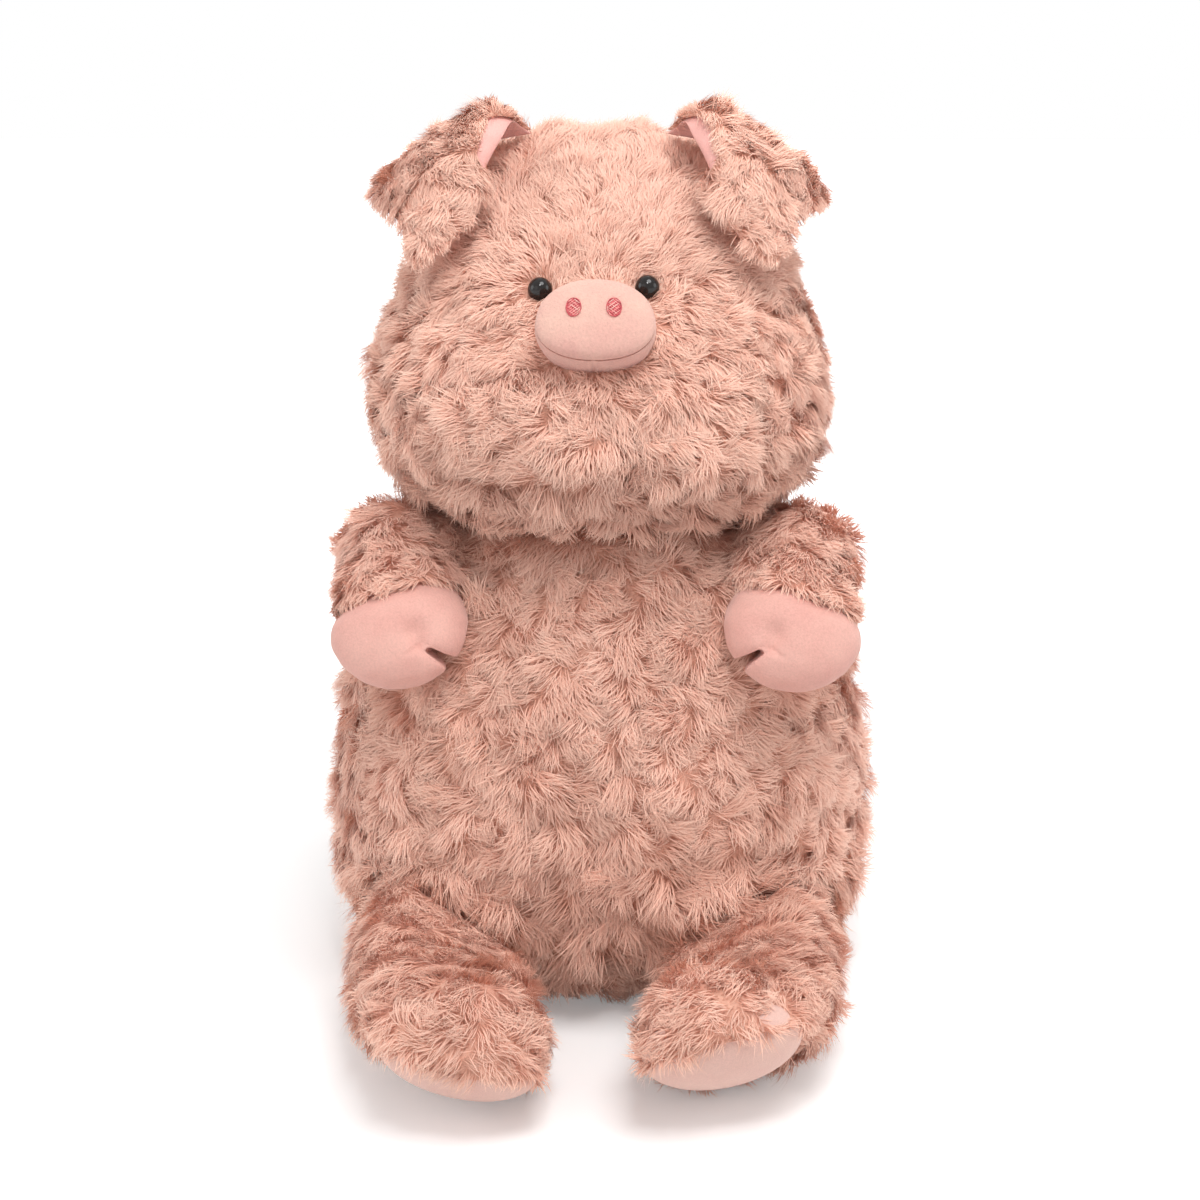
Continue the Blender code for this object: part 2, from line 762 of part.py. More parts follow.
def cleft_cutter(name, side, grow):
    """A wedge with a round end that opens at the hoof's inner edge."""
    _, cuff, lean = arm_path(side)
    sideways = Vector((side, 0, 0))
    across = (sideways - lean * sideways.dot(lean)).normalized()
    through = lean.cross(across)
    inner_end = (cuff + across * (cleft_centre_shares[0] * hoof_width / 2)
                 + lean * (cleft_centre_shares[1] * hoof_length))
    angle = math.radians(cleft_turn)
    outward = (-across * math.cos(angle) + lean * math.sin(angle)).normalized()
    sidewise = through.cross(outward)
    half = cleft_width / 2 + grow
    round_steps = 8
    shape = []
    for step in range(round_steps + 1):
        turn = math.pi * step / round_steps
        shape.append((-half * math.sin(turn), half * math.cos(turn)))
    mouth = cleft_length + grow
    flare_share = 2.2
    shape += [(mouth, -half * flare_share), (mouth, half * flare_share)]
    reach = hoof_thickness
    rings = [[inner_end + outward * a + sidewise * b + through * (end * reach) for a, b in shape]
             for end in (-1, 1)]
    return add_object(name, loft(rings))


def body_keep_out(name, distance, side, root, root_radius, limit):
    """Where a limb may not be: the body at every turn of the limb, less its room."""
    block = add_object(name + "_block", body_form(distance))
    turns = 3
    for turn in range(1, turns + 1):
        # Seen from the limb, the body turns the other way
        angle = -side * math.radians(limit) * turn / turns
        turned_block = add_object(name + "_block_" + str(turn), body_form(distance))
        lower = Vector((0, 0, -level_step * turn))
        turned_block.matrix_world = (Matrix.Translation(root + lower)
                                     @ Matrix.Rotation(angle, 4, 'Z')
                                     @ Matrix.Translation(-root))
        join_by(block, 'UNION', turned_block)
    return cut(block, ball(name + "_root", [root], fine_radius(root_radius),
                           fine_ball_sides))


def limb_blocks(name, side, root, radius, limit):
    """The limb's forbidden room for its cover, its stuffed core and its stuffing."""
    core = radius - pile_thickness
    depths = {"cover": (0.0, radius), "core": (seam_wall, core),
              "filling": (seam_wall + stuffing_gap, core - stuffing_gap)}
    return {level: body_keep_out(name + "_" + level, seam_gap + depth, side, root,
                                 room_radius, limit)
            for level, (depth, room_radius) in depths.items()}


def make_arm(name, side):
    blocks = limb_blocks("arm_" + name, side, shoulder(side), sleeve_radius, arm_swing_limit)
    cuff, facing = cuff_plane(side)
    reach = arm_length
    beyond = half_space("cuff_beyond_" + name, cuff - facing * (seam_gap / 2), facing, reach)
    behind = half_space("cuff_behind_" + name, cuff + facing * (seam_gap / 2), -facing, reach)

    core = add_object("hoof_core_" + name, arm_core(side))
    cut(core, blocks["core"], cleft_cutter("cleft_core_" + name, side, skin_thickness))
    lining = add_object("sleeve_core_" + name, arm_core(side, 0.0, arm_lining_sides))
    cut(lining, blocks["core"])
    sleeve = add_object("sleeve_" + name, arm_core(side, pile_thickness), "plush")
    cut(sleeve, blocks["cover"], beyond, lining)
    hoof = add_object("hoof_" + name, arm_core(side, skin_thickness), "skin")
    cut(hoof, blocks["cover"], behind, cleft_cutter("cleft_" + name, side, 0.0), core)
    filling = add_object("arm_filling_" + name, arm_core(side, -stuffing_gap, arm_lining_sides), "stuffing")
    cut(filling, blocks["filling"],
        cleft_cutter("cleft_filling_" + name, side, skin_thickness + stuffing_gap))
    return [sleeve, hoof, filling]


def sole_frame(side):
    """Middle of the sole, the way it looks, its long axis and its short one."""
    facing = direction(sole_facing_shares, side)
    long_axis = direction(sole_long_axis_shares, side)
    long_axis = (long_axis - facing * long_axis.dot(facing)).normalized()
    short_axis = facing.cross(long_axis)
    root = hip(side)
    middle = root + Vector((side * sole_inward_share, -1, 0)) * leg_length
    middle.z = sole_height
    return middle, facing, long_axis, short_axis


def leg_core(side, distance=0.0, sides=leg_sides):
    """The leg's stuffed form, from the ball in the hip to past the sole."""
    root = hip(side)
    core = leg_radius - pile_thickness
    middle, facing, long_axis, short_axis = sole_frame(side)
    ahead = Vector((0, -1, 0))
    sideways = Vector((-side, 0, 0))
    level = leg_radius - seat_cut
    stations = []
    for (inward, forward, rise, wide, high), turn in zip(leg_path_shares, leg_turn_shares):
        centre = root + Vector((side * inward, forward, 0)) * leg_length
        centre.z = level + (sole_height - level) * rise
        heading = (ahead * (1 - turn) + facing * turn).normalized()
        across = (sideways * (1 - turn) + long_axis * turn)
        across = (across - heading * across.dot(heading)).normalized()
        stations.append((centre, across, heading.cross(across),
                         leg_radius * wide - pile_thickness,
                         leg_radius * high - pile_thickness))
    half_long = sole_length / 2 - sole_seam_inset
    half_short = sole_width / 2 - sole_seam_inset
    stations.append((middle, long_axis, short_axis, half_long, half_short))
    end = middle + facing * pile_thickness
    end_share = 0.86
    stations.append((end, long_axis, short_axis, half_long * end_share,
                     half_short * end_share))
    rings, pole = limb_rings(root, core, stations, sides, leg_roundness)
    return swell(loft(rings, pole, end + facing * skin_thickness), distance)


def make_leg(name, side, floor):
    blocks = limb_blocks("leg_" + name, side, hip(side), leg_radius, leg_spread_limit)
    middle, facing, long_axis, short_axis = sole_frame(side)
    beyond = half_space("sole_beyond_" + name, middle, facing, leg_length)
    stuffing_end = half_space("sole_stuffing_end_" + name, middle - facing * stuffing_gap,
                              facing, leg_length)
    core = add_object("leg_core_" + name, leg_core(side, 0.0, leg_lining_sides))
    cut(core, blocks["core"])
    cover = add_object("leg_cover_" + name, leg_core(side, pile_thickness), "plush")
    cut(cover, blocks["cover"], floor, beyond, core)
    filling = add_object("leg_filling_" + name, leg_core(side, -stuffing_gap, leg_lining_sides), "stuffing")
    cut(filling, blocks["filling"], stuffing_end)

    sole_shares = ((0.0, 0.97), (0.35, 1.0), (0.62, 0.93), (0.86, 0.62), (0.96, 0.30))
    height = skin_thickness + sole_dome
    rings = [section(middle + facing * (seam_gap + height * rise), long_axis, short_axis,
                     sole_length / 2 * share, sole_width / 2 * share, leg_sides,
                     leg_roundness)
             for rise, share in sole_shares]
    sole = add_object("sole_" + name, loft(rings, None, middle + facing * (seam_gap + height)),
                      "skin")
    return [cover, filling, sole]


# Tail

def make_tail():
    root = tail_root()
    points = [root + Vector((0, tail_start * share, 0)) for share in (0.0, 0.5, 1.0)]
    turns = tail_steps - len(points)
    for step in range(turns):
        share = step / (turns - 1)
        angle = 2 * math.pi * tail_curl_turns * share
        swing = tail_curl_radius * (1 - 0.35 * share)
        points.append(root + Vector((swing * math.sin(angle),
                                     tail_start + tail_radius + tail_curl_pitch * share,
                                     swing * (math.cos(angle) - 1))))
    headings = [(points[min(step + 1, len(points) - 1)] - points[max(step - 1, 0)]).normalized()
                for step in range(len(points))]
    stations = []
    upright = Vector((0, 0, 1))
    across = upright.cross(headings[0]).normalized()
    for step, (point, heading) in enumerate(zip(points, headings)):
        across = (across - heading * across.dot(heading)).normalized()
        share = step / (len(points) - 1)
        radius = tail_radius + (tail_tip_radius - tail_radius) * share
        stations.append((point, across, heading.cross(across), radius, radius))
    rings, pole = limb_rings(root, tail_radius, stations[1:], tail_sides)
    tip = points[-1] + headings[-1] * tail_tip_radius
    return [add_object("tail", loft(rings, pole, tip), "plush")]


def main():
    clear_scene()
    floor = floor_block()
    make_body(floor)

    head_cover, head_filling = make_head()
    head_pieces = [head_cover, head_filling]
    head_block = add_object("head_block", head_form(seam_gap))
    head_pieces += make_snout(head_block)
    for name, side in (("right", -1), ("left", 1)):
        head_pieces += make_eye(name, side, head_cover, head_filling)
    set_pivot("neck_pivot", Vector((0, 0, neck_height)), head_pieces)

    for name, side in (("right", -1), ("left", 1)):
        set_pivot("ear_pivot_" + name, ear_frame(side)[0], make_ear(name, side))
        set_pivot("shoulder_pivot_" + name, shoulder(side), make_arm(name, side))
        set_pivot("hip_pivot_" + name, hip(side), make_leg(name, side, floor))
    set_pivot("tail_pivot", tail_root(), make_tail())


main()
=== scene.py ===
import math
import time
import bpy
import bmesh
import numpy as np
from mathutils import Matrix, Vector, noise
from mathutils.bvhtree import BVHTree


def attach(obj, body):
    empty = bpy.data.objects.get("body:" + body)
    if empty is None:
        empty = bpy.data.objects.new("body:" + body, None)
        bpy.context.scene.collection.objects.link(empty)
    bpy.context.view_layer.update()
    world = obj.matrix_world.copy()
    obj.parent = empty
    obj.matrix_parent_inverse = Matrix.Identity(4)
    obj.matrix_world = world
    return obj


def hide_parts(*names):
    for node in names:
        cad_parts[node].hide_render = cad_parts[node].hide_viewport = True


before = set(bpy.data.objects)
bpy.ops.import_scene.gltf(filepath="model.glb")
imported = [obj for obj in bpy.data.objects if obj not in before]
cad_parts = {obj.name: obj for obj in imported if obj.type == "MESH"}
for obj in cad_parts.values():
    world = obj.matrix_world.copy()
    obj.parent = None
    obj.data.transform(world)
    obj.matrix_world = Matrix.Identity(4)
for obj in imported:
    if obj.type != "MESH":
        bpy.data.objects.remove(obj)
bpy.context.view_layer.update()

scene = bpy.context.scene
sides = {"left": 1, "right": -1}


# Meshes as arrays

def spots(mesh):
    flat = np.empty(len(mesh.vertices) * 3, np.float32)
    mesh.vertices.foreach_get("co", flat)
    return flat.reshape(-1, 3).astype(float)


def pointing(mesh):
    flat = np.empty(len(mesh.vertices) * 3, np.float32)
    mesh.vertex_normals.foreach_get("vector", flat)
    return flat.reshape(-1, 3).astype(float)


def move(mesh, points):
    mesh.vertices.foreach_set("co", points.astype(np.float32).ravel())
    mesh.update()


def mark(mesh, label, values):  # one number or one direction for each vertex
    values = np.asarray(values, float)
    kind, key = ("FLOAT_VECTOR", "vector") if values.ndim == 2 else ("FLOAT", "value")
    layer = mesh.attributes.get(label) or mesh.attributes.new(label, kind, "POINT")
    layer.data.foreach_set(key, values.astype(np.float32).ravel())


def unit(v):
    return v / np.maximum(np.linalg.norm(v, axis=-1, keepdims=True), 1e-9)


def along(v, n):  # v laid flat on surfaces that face n
    return unit(v - n * (v * n).sum(1, keepdims=True))


def spun(v, n, angle):
    angle = np.asarray(angle).reshape(-1, 1)
    return v * np.cos(angle) + np.cross(n, v) * np.sin(angle)


def ripple(points, scale, seed=0.0):  # smooth noise, about -1 to 1
    shift = Vector((seed, 1.7 * seed, -seed))
    return np.array([noise.noise(Vector(p) * scale + shift) for p in points])


def nap(points, seed, wide, fine):  # how far the hair turns from its way, in radians
    return wide * ripple(points, 19, seed) + fine * ripple(points, 52, seed + 20)


def bumps(points, seed, height):  # how the stuffing and the tufts swell a skin
    return height * (ripple(points, 62, seed) + 0.6 * ripple(points, 24, seed + 11))


def near(points, spot, radius):
    return np.exp(-(np.linalg.norm(points - np.asarray(spot), axis=1) / radius) ** 2)


def pieceOf(name, mesh, material=None):
    piece = bpy.data.objects.new(name, mesh)
    scene.collection.objects.link(piece)
    if material:
        mesh.materials.clear()
        mesh.materials.append(material)
    mesh.polygons.foreach_set("use_smooth", [True] * len(mesh.polygons))
    return piece


def settle(piece):  # its modifiers become its mesh
    graph = bpy.context.evaluated_depsgraph_get()
    mesh = bpy.data.meshes.new_from_object(piece.evaluated_get(graph))
    piece.modifiers.clear()
    piece.data = mesh
    mesh.name = piece.name
    return piece


def evened(piece, voxel, rounds):  # one closed skin of even faces, smoothed
    remesh = piece.modifiers.new("Remesh", "REMESH")
    remesh.mode, remesh.voxel_size = "VOXEL", voxel
    smooth = piece.modifiers.new("Smooth", "SMOOTH")
    smooth.factor, smooth.iterations = 0.5, rounds
    return settle(piece)


def softForm(name, solids, voxel, rounds, extra=None):
    bm = bmesh.new()
    for solid in solids:
        bm.from_mesh(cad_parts[solid].data)
    if extra:
        bm.from_mesh(extra)
    bmesh.ops.remove_doubles(bm, verts=bm.verts, dist=1e-6)
    mesh = bpy.data.meshes.new(name)
    bm.to_mesh(mesh)
    bm.free()
    piece = evened(pieceOf(name, mesh), voxel, rounds)
    piece.data.materials.clear()
    piece.data.materials.append(backing)
    return piece


clothLook = {"frames": 20, "cap": 0.0025}


def stuff(piece, pinned, pressure=4.0):  # the stuffing presses the cloth of a cover outwards
    started = time.time()
    before = spots(piece.data)
    piece.vertex_groups.new(name="pinned").add(np.where(pinned)[0].tolist(), 1.0, "REPLACE")
    cloth = piece.modifiers.new("Cloth", "CLOTH")
    cloth.settings.use_pressure = True
    cloth.settings.uniform_pressure_force = pressure
    cloth.settings.effector_weights.gravity = 0
    cloth.settings.vertex_group_mass = "pinned"
    cloth.point_cache.frame_start, cloth.point_cache.frame_end = 1, clothLook["frames"]
    for step in range(1, clothLook["frames"] + 1):
        scene.frame_set(step)
    settle(piece)
    piece.vertex_groups.clear()
    scene.frame_set(1)
    shift = spots(piece.data) - before
    far = np.linalg.norm(shift, axis=1, keepdims=True)
    move(piece.data, before + shift * np.minimum(1, clothLook["cap"] / np.maximum(far, 1e-9)))
    print(f"{piece.name}: stuffed in {time.time() - started:.1f} s, moved"
          f" {far.mean() * 1000:.2f} mm on average, {far.max() * 1000:.2f} mm at most before the cap")


def faceOut(mesh, join=None):  # faces point outwards; corners closer than join become one
    bm = bmesh.new()
    bm.from_mesh(mesh)
    if join:
        bmesh.ops.remove_doubles(bm, verts=bm.verts, dist=join)
    bmesh.ops.recalc_face_normals(bm, faces=bm.faces)
    bm.to_mesh(mesh)
    bm.free()
    return mesh


def gridMesh(name, rows, startCap=None, endCap=None):  # closed rings of points, skinned
    rows = np.asarray(rows)
    count, width = rows.shape[:2]
    points = [tuple(p) for row in rows for p in row]
    faces = []
    for r in range(count - 1):
        for c in range(width):
            d = (c + 1) % width
            faces.append((r * width + c, r * width + d, (r + 1) * width + d, (r + 1) * width + c))
    for cap, r in ((startCap, 0), (endCap, count - 1)):
        if cap is not None:
            points.append(tuple(cap))
            tip = len(points) - 1
            for c in range(width):
                d = (c + 1) % width
                ring = (r * width + c, r * width + d)
                faces.append((ring[1], ring[0], tip) if r == 0 else (ring[0], ring[1], tip))
    mesh = bpy.data.meshes.new(name)
    mesh.from_pydata(points, [], faces)
    return faceOut(mesh)


def rounded(piece, levels=1):
    subdivide = piece.modifiers.new("Subdivision", "SUBSURF")
    subdivide.levels = subdivide.render_levels = levels
    return piece


# Materials

def link(tree, value, socket):
    if isinstance(value, bpy.types.NodeSocket):
        tree.links.new(value, socket)
    else:
        socket.default_value = value


def nodeIn(tree, kind, settings=None, **inputs):
    node = tree.nodes.new(kind)
    for key, value in (settings or {}).items():
        setattr(node, key, value)
    for key, value in inputs.items():
        byNumber = key[0] == "i" and key[1:].isdigit()
        link(tree, value, node.inputs[int(key[1:]) if byNumber else key.replace("_", " ")])
    return node


def mixed(tree, factor, a, b, blend="MIX"):
    node = nodeIn(tree, "ShaderNodeMix", {"data_type": "RGBA", "blend_type": blend})
    link(tree, factor, node.inputs["Factor"])
    link(tree, a, node.inputs[6])
    link(tree, b, node.inputs[7])
    return node.outputs[2]


def ramp(tree, value, stops):
    node = nodeIn(tree, "ShaderNodeValToRGB", Fac=value)
    elements = node.color_ramp.elements
    while len(elements) > 1:
        elements.remove(elements[-1])
    elements[0].position, elements[0].color = stops[0][0], (*stops[0][1], 1)
    for spot, colour in stops[1:]:
        elements.new(spot).color = (*colour, 1)
    return node.outputs[0]


def newMaterial(name, roughness=0.6, **sockets):
    material = bpy.data.materials.new(name)
    material.use_nodes = True
    tree = material.node_tree
    shader = tree.nodes["Principled BSDF"]
    shader.inputs["Roughness"].default_value = roughness
    for key, value in sockets.items():
        shader.inputs[key.replace("_", " ")].default_value = value
    return material, tree, shader


def makeNapGroup():  # soft blotches and fine fibre bumps of a brushed fabric
    group = bpy.data.node_groups.new("brushedNap", "ShaderNodeTree")
    face = group.interface
    for label, kind, start in (("Color", "NodeSocketColor", (0.8, 0.5, 0.4, 1)),
                               ("Blotch Color", "NodeSocketColor", (0.7, 0.4, 0.3, 1)),
                               ("Blotch Scale", "NodeSocketFloat", 60.0),
                               ("Fibre Scale", "NodeSocketFloat", 1400.0)):
        face.new_socket(label, in_out="INPUT", socket_type=kind).default_value = start
    face.new_socket("Color", in_out="OUTPUT", socket_type="NodeSocketColor")
    face.new_socket("Height", in_out="OUTPUT", socket_type="NodeSocketFloat")
    start, end = group.nodes.new("NodeGroupInput"), group.nodes.new("NodeGroupOutput")
    place = nodeIn(group, "ShaderNodeTexCoord").outputs["Object"]
    blotch = nodeIn(group, "ShaderNodeTexNoise", Vector=place,
                    Scale=start.outputs["Blotch Scale"], Detail=4.0, Roughness=0.6)
    fibre = nodeIn(group, "ShaderNodeTexNoise", Vector=place,
                   Scale=start.outputs["Fibre Scale"], Detail=3.0, Roughness=0.7)
    spread = nodeIn(group, "ShaderNodeMapRange", Value=blotch.outputs["Fac"],
                    From_Min=0.35, From_Max=0.68)
    base = mixed(group, spread.outputs[0], start.outputs["Color"], start.outputs["Blotch Color"])
    speck = nodeIn(group, "ShaderNodeMapRange", Value=fibre.outputs["Fac"],
                   From_Min=0.3, From_Max=0.7, To_Min=0.90, To_Max=1.05)
    grey = nodeIn(group, "ShaderNodeCombineColor", Red=speck.outputs[0],
                  Green=speck.outputs[0], Blue=speck.outputs[0])
    link(group, mixed(group, 1.0, base, grey.outputs[0], "MULTIPLY"), end.inputs["Color"])
    link(group, fibre.outputs["Fac"], end.inputs["Height"])
    return group


napGroup = makeNapGroup()


def brushedFabric(name, colour, blotch, blotchScale=60.0, fibreScale=1400.0, bump=0.25, paintedShade=None):
    material, tree, shader = newMaterial(name, 0.82, Sheen_Weight=0.35, Sheen_Roughness=0.45,
                                         Specular_IOR_Level=0.25)
    shader.inputs["Sheen Tint"].default_value = (1.0, 0.86, 0.80, 1)
    nap = tree.nodes.new("ShaderNodeGroup")
    nap.node_tree = napGroup
    link(tree, (*colour, 1), nap.inputs["Color"])
    link(tree, (*blotch, 1), nap.inputs["Blotch Color"])
    link(tree, blotchScale, nap.inputs["Blotch Scale"])
    link(tree, fibreScale, nap.inputs["Fibre Scale"])
    relief = nodeIn(tree, "ShaderNodeBump", Strength=bump, Distance=0.0006,
                    Height=nap.outputs["Height"])
    shade = nap.outputs["Color"]
    if paintedShade:  # painted shade: a darker, pinker tone towards the underside
        low, high, tint = paintedShade
        place = nodeIn(tree, "ShaderNodeTexCoord").outputs["Object"]
        level = nodeIn(tree, "ShaderNodeSeparateXYZ", Vector=place).outputs[2]
        share = nodeIn(tree, "ShaderNodeMapRange", Value=level, From_Min=low,
                       From_Max=high).outputs[0]
        shade = mixed(tree, 1.0, shade, mixed(tree, share, (*tint, 1), (1, 1, 1, 1)), "MULTIPLY")
    link(tree, shade, shader.inputs["Base Color"])
    link(tree, relief.outputs[0], shader.inputs["Normal"])
    return material


furLook = {
    # painted shade: the darker root colour shades the pile deep between the hairs and locks
    "rootColour": (0.70, 0.335, 0.235),
    "middleColour": (0.93, 0.565, 0.445),
    "tipColour": (1.0, 0.695, 0.570),
    "duskyTone": (0.76, 0.70, 0.68),
    "warmTone": (0.96, 0.93, 0.91),
}


def makeFur():  # along the hair from the map's height, its tone from the map's width
    material, tree, shader = newMaterial("longPileHair", 0.62, Specular_IOR_Level=0.25,
                                         Sheen_Weight=0.12, Sheen_Roughness=0.4)
    place = nodeIn(tree, "ShaderNodeUVMap", {"uv_map": "OFBake"}).outputs[0]
    parts = nodeIn(tree, "ShaderNodeSeparateXYZ", Vector=place)
    length = ramp(tree, parts.outputs[1], [(0.0, furLook["rootColour"]), (0.42, furLook["middleColour"]),
                                           (0.85, furLook["tipColour"])])
    # besides random tone, the dusky end gives painted shade under the head and the low body, and the light
    # end gives painted light on the head top, body sides and sleeves
    tone = ramp(tree, parts.outputs[0], [(0.05, furLook["duskyTone"]), (0.45, furLook["warmTone"]),
                                         (0.95, (1.0, 1.0, 1.0))])
    link(tree, mixed(tree, 1.0, length, tone, "MULTIPLY"), shader.inputs["Base Color"])
    return material


furMaterial = makeFur()
backing = brushedFabric("pileBacking", (0.78, 0.43, 0.32), (0.68, 0.34, 0.25), 90.0, 900.0, 0.5)
hoofFabric = brushedFabric("hoofPlush", (0.78, 0.44, 0.375), (0.73, 0.38, 0.325), 45.0, 1000.0, 0.5)
# painted shade: the snout's colour darkens towards its underside
snoutFabric = brushedFabric("snoutPlush", (0.81, 0.535, 0.435), (0.77, 0.46, 0.385), 55.0, 800.0, 0.9,
                            (0.330, 0.374, (0.83, 0.70, 0.73)))
soleFabric = brushedFabric("solePlush", (0.80, 0.53, 0.455), (0.76, 0.475, 0.41), 50.0)
liningFabric = brushedFabric("earLiningPlush", (0.90, 0.50, 0.45), (0.86, 0.44, 0.39), 60.0)


def makeThread():
    material, tree, shader = newMaterial("satinThread", 0.42, Sheen_Weight=0.2)
    tone = nodeIn(tree, "ShaderNodeAttribute", {"attribute_name": "tone"})
    place = nodeIn(tree, "ShaderNodeTexCoord").outputs["Object"]
    grain = nodeIn(tree, "ShaderNodeTexNoise", Vector=place, Scale=2600.0, Detail=2.0)
    base = ramp(tree, tone.outputs["Fac"], [(0.0, (0.46, 0.030, 0.050)), (0.5, (0.80, 0.15, 0.16)),
                                            (1.0, (0.95, 0.50, 0.44))])
    shade = nodeIn(tree, "ShaderNodeMapRange", Value=grain.outputs["Fac"], From_Min=0.3,
                   From_Max=0.7, To_Min=0.82, To_Max=1.08)
    grey = nodeIn(tree, "ShaderNodeCombineColor", Red=shade.outputs[0], Green=shade.outputs[0],
                  Blue=shade.outputs[0])
    link(tree, mixed(tree, 1.0, base, grey.outputs[0], "MULTIPLY"), shader.inputs["Base Color"])
    relief = nodeIn(tree, "ShaderNodeBump", Strength=0.3, Distance=0.0002, Height=grain.outputs["Fac"])
    link(tree, relief.outputs[0], shader.inputs["Normal"])
    return material


def makeEyeMaterial():
    material, tree, shader = newMaterial("blackEyePlastic", 0.04, Specular_IOR_Level=0.35)
    place = nodeIn(tree, "ShaderNodeTexCoord").outputs["Object"]
    smear = nodeIn(tree, "ShaderNodeTexNoise", Vector=place, Scale=420.0, Detail=5.0)
    link(tree, mixed(tree, smear.outputs["Fac"], (0.006, 0.005, 0.005, 1), (0.016, 0.012, 0.011, 1)),
         shader.inputs["Base Color"])
    rough = nodeIn(tree, "ShaderNodeMapRange", Value=smear.outputs["Fac"], From_Min=0.3,
                   From_Max=0.75, To_Min=0.02, To_Max=0.05)
    link(tree, rough.outputs[0], shader.inputs["Roughness"])
    return material


def makeWasherMaterial():
    material, tree, shader = newMaterial("washerPlastic", 0.5)
    place = nodeIn(tree, "ShaderNodeTexCoord").outputs["Object"]
    grain = nodeIn(tree, "ShaderNodeTexNoise", Vector=place, Scale=900.0, Detail=4.0)
    link(tree, mixed(tree, grain.outputs["Fac"], (0.70, 0.69, 0.66, 1), (0.80, 0.79, 0.76, 1)),
         shader.inputs["Base Color"])
    relief = nodeIn(tree, "ShaderNodeBump", Strength=0.15, Distance=0.0002, Height=grain.outputs["Fac"])
    link(tree, relief.outputs[0], shader.inputs["Normal"])
    return material


threadMaterial, eyeMaterial, washerMaterial = makeThread(), makeEyeMaterial(), makeWasherMaterial()
print("materials are made")


# The pile: locks of hair that grow from a skin

hairWidth = 0.0004
facesPerHair, facesPerPiece = 5, 190000


def makeHair():
    steps = ((0.0, 0.80), (0.36, 1.0), (0.70, 0.72))
    lean, bend = math.radians(50), math.radians(42)
    bm = bmesh.new()
    reach, edge = bm.verts.layers.float.new("reach"), bm.verts.layers.float.new("edge")

    def at(t, side, width):
        y = (math.cos(lean) - math.cos(lean + bend * t)) / bend
        z = (math.sin(lean + bend * t) - math.sin(lean)) / bend
        vert = bm.verts.new((side * width / 2, y, z))
        vert[reach], vert[edge] = t, side
        return vert

    pairs = [(at(t, -1, width), at(t, 1, width)) for t, width in steps]
    tip = at(1.0, 0, 0)
    for low, high in zip(pairs, pairs[1:]):
        bm.faces.new((low[0], low[1], high[1], high[0]))
    bm.faces.new((pairs[-1][0], pairs[-1][1], tip))
    mesh = bpy.data.meshes.new("hair")
    bm.to_mesh(mesh)
    bm.free()
    hair = bpy.data.objects.new("hair", mesh)
    scene.collection.objects.link(hair)
    return hair


def socketsOf(tree):
    return {s.name: s.identifier for s in tree.interface.items_tree if s.in_out == "INPUT"}


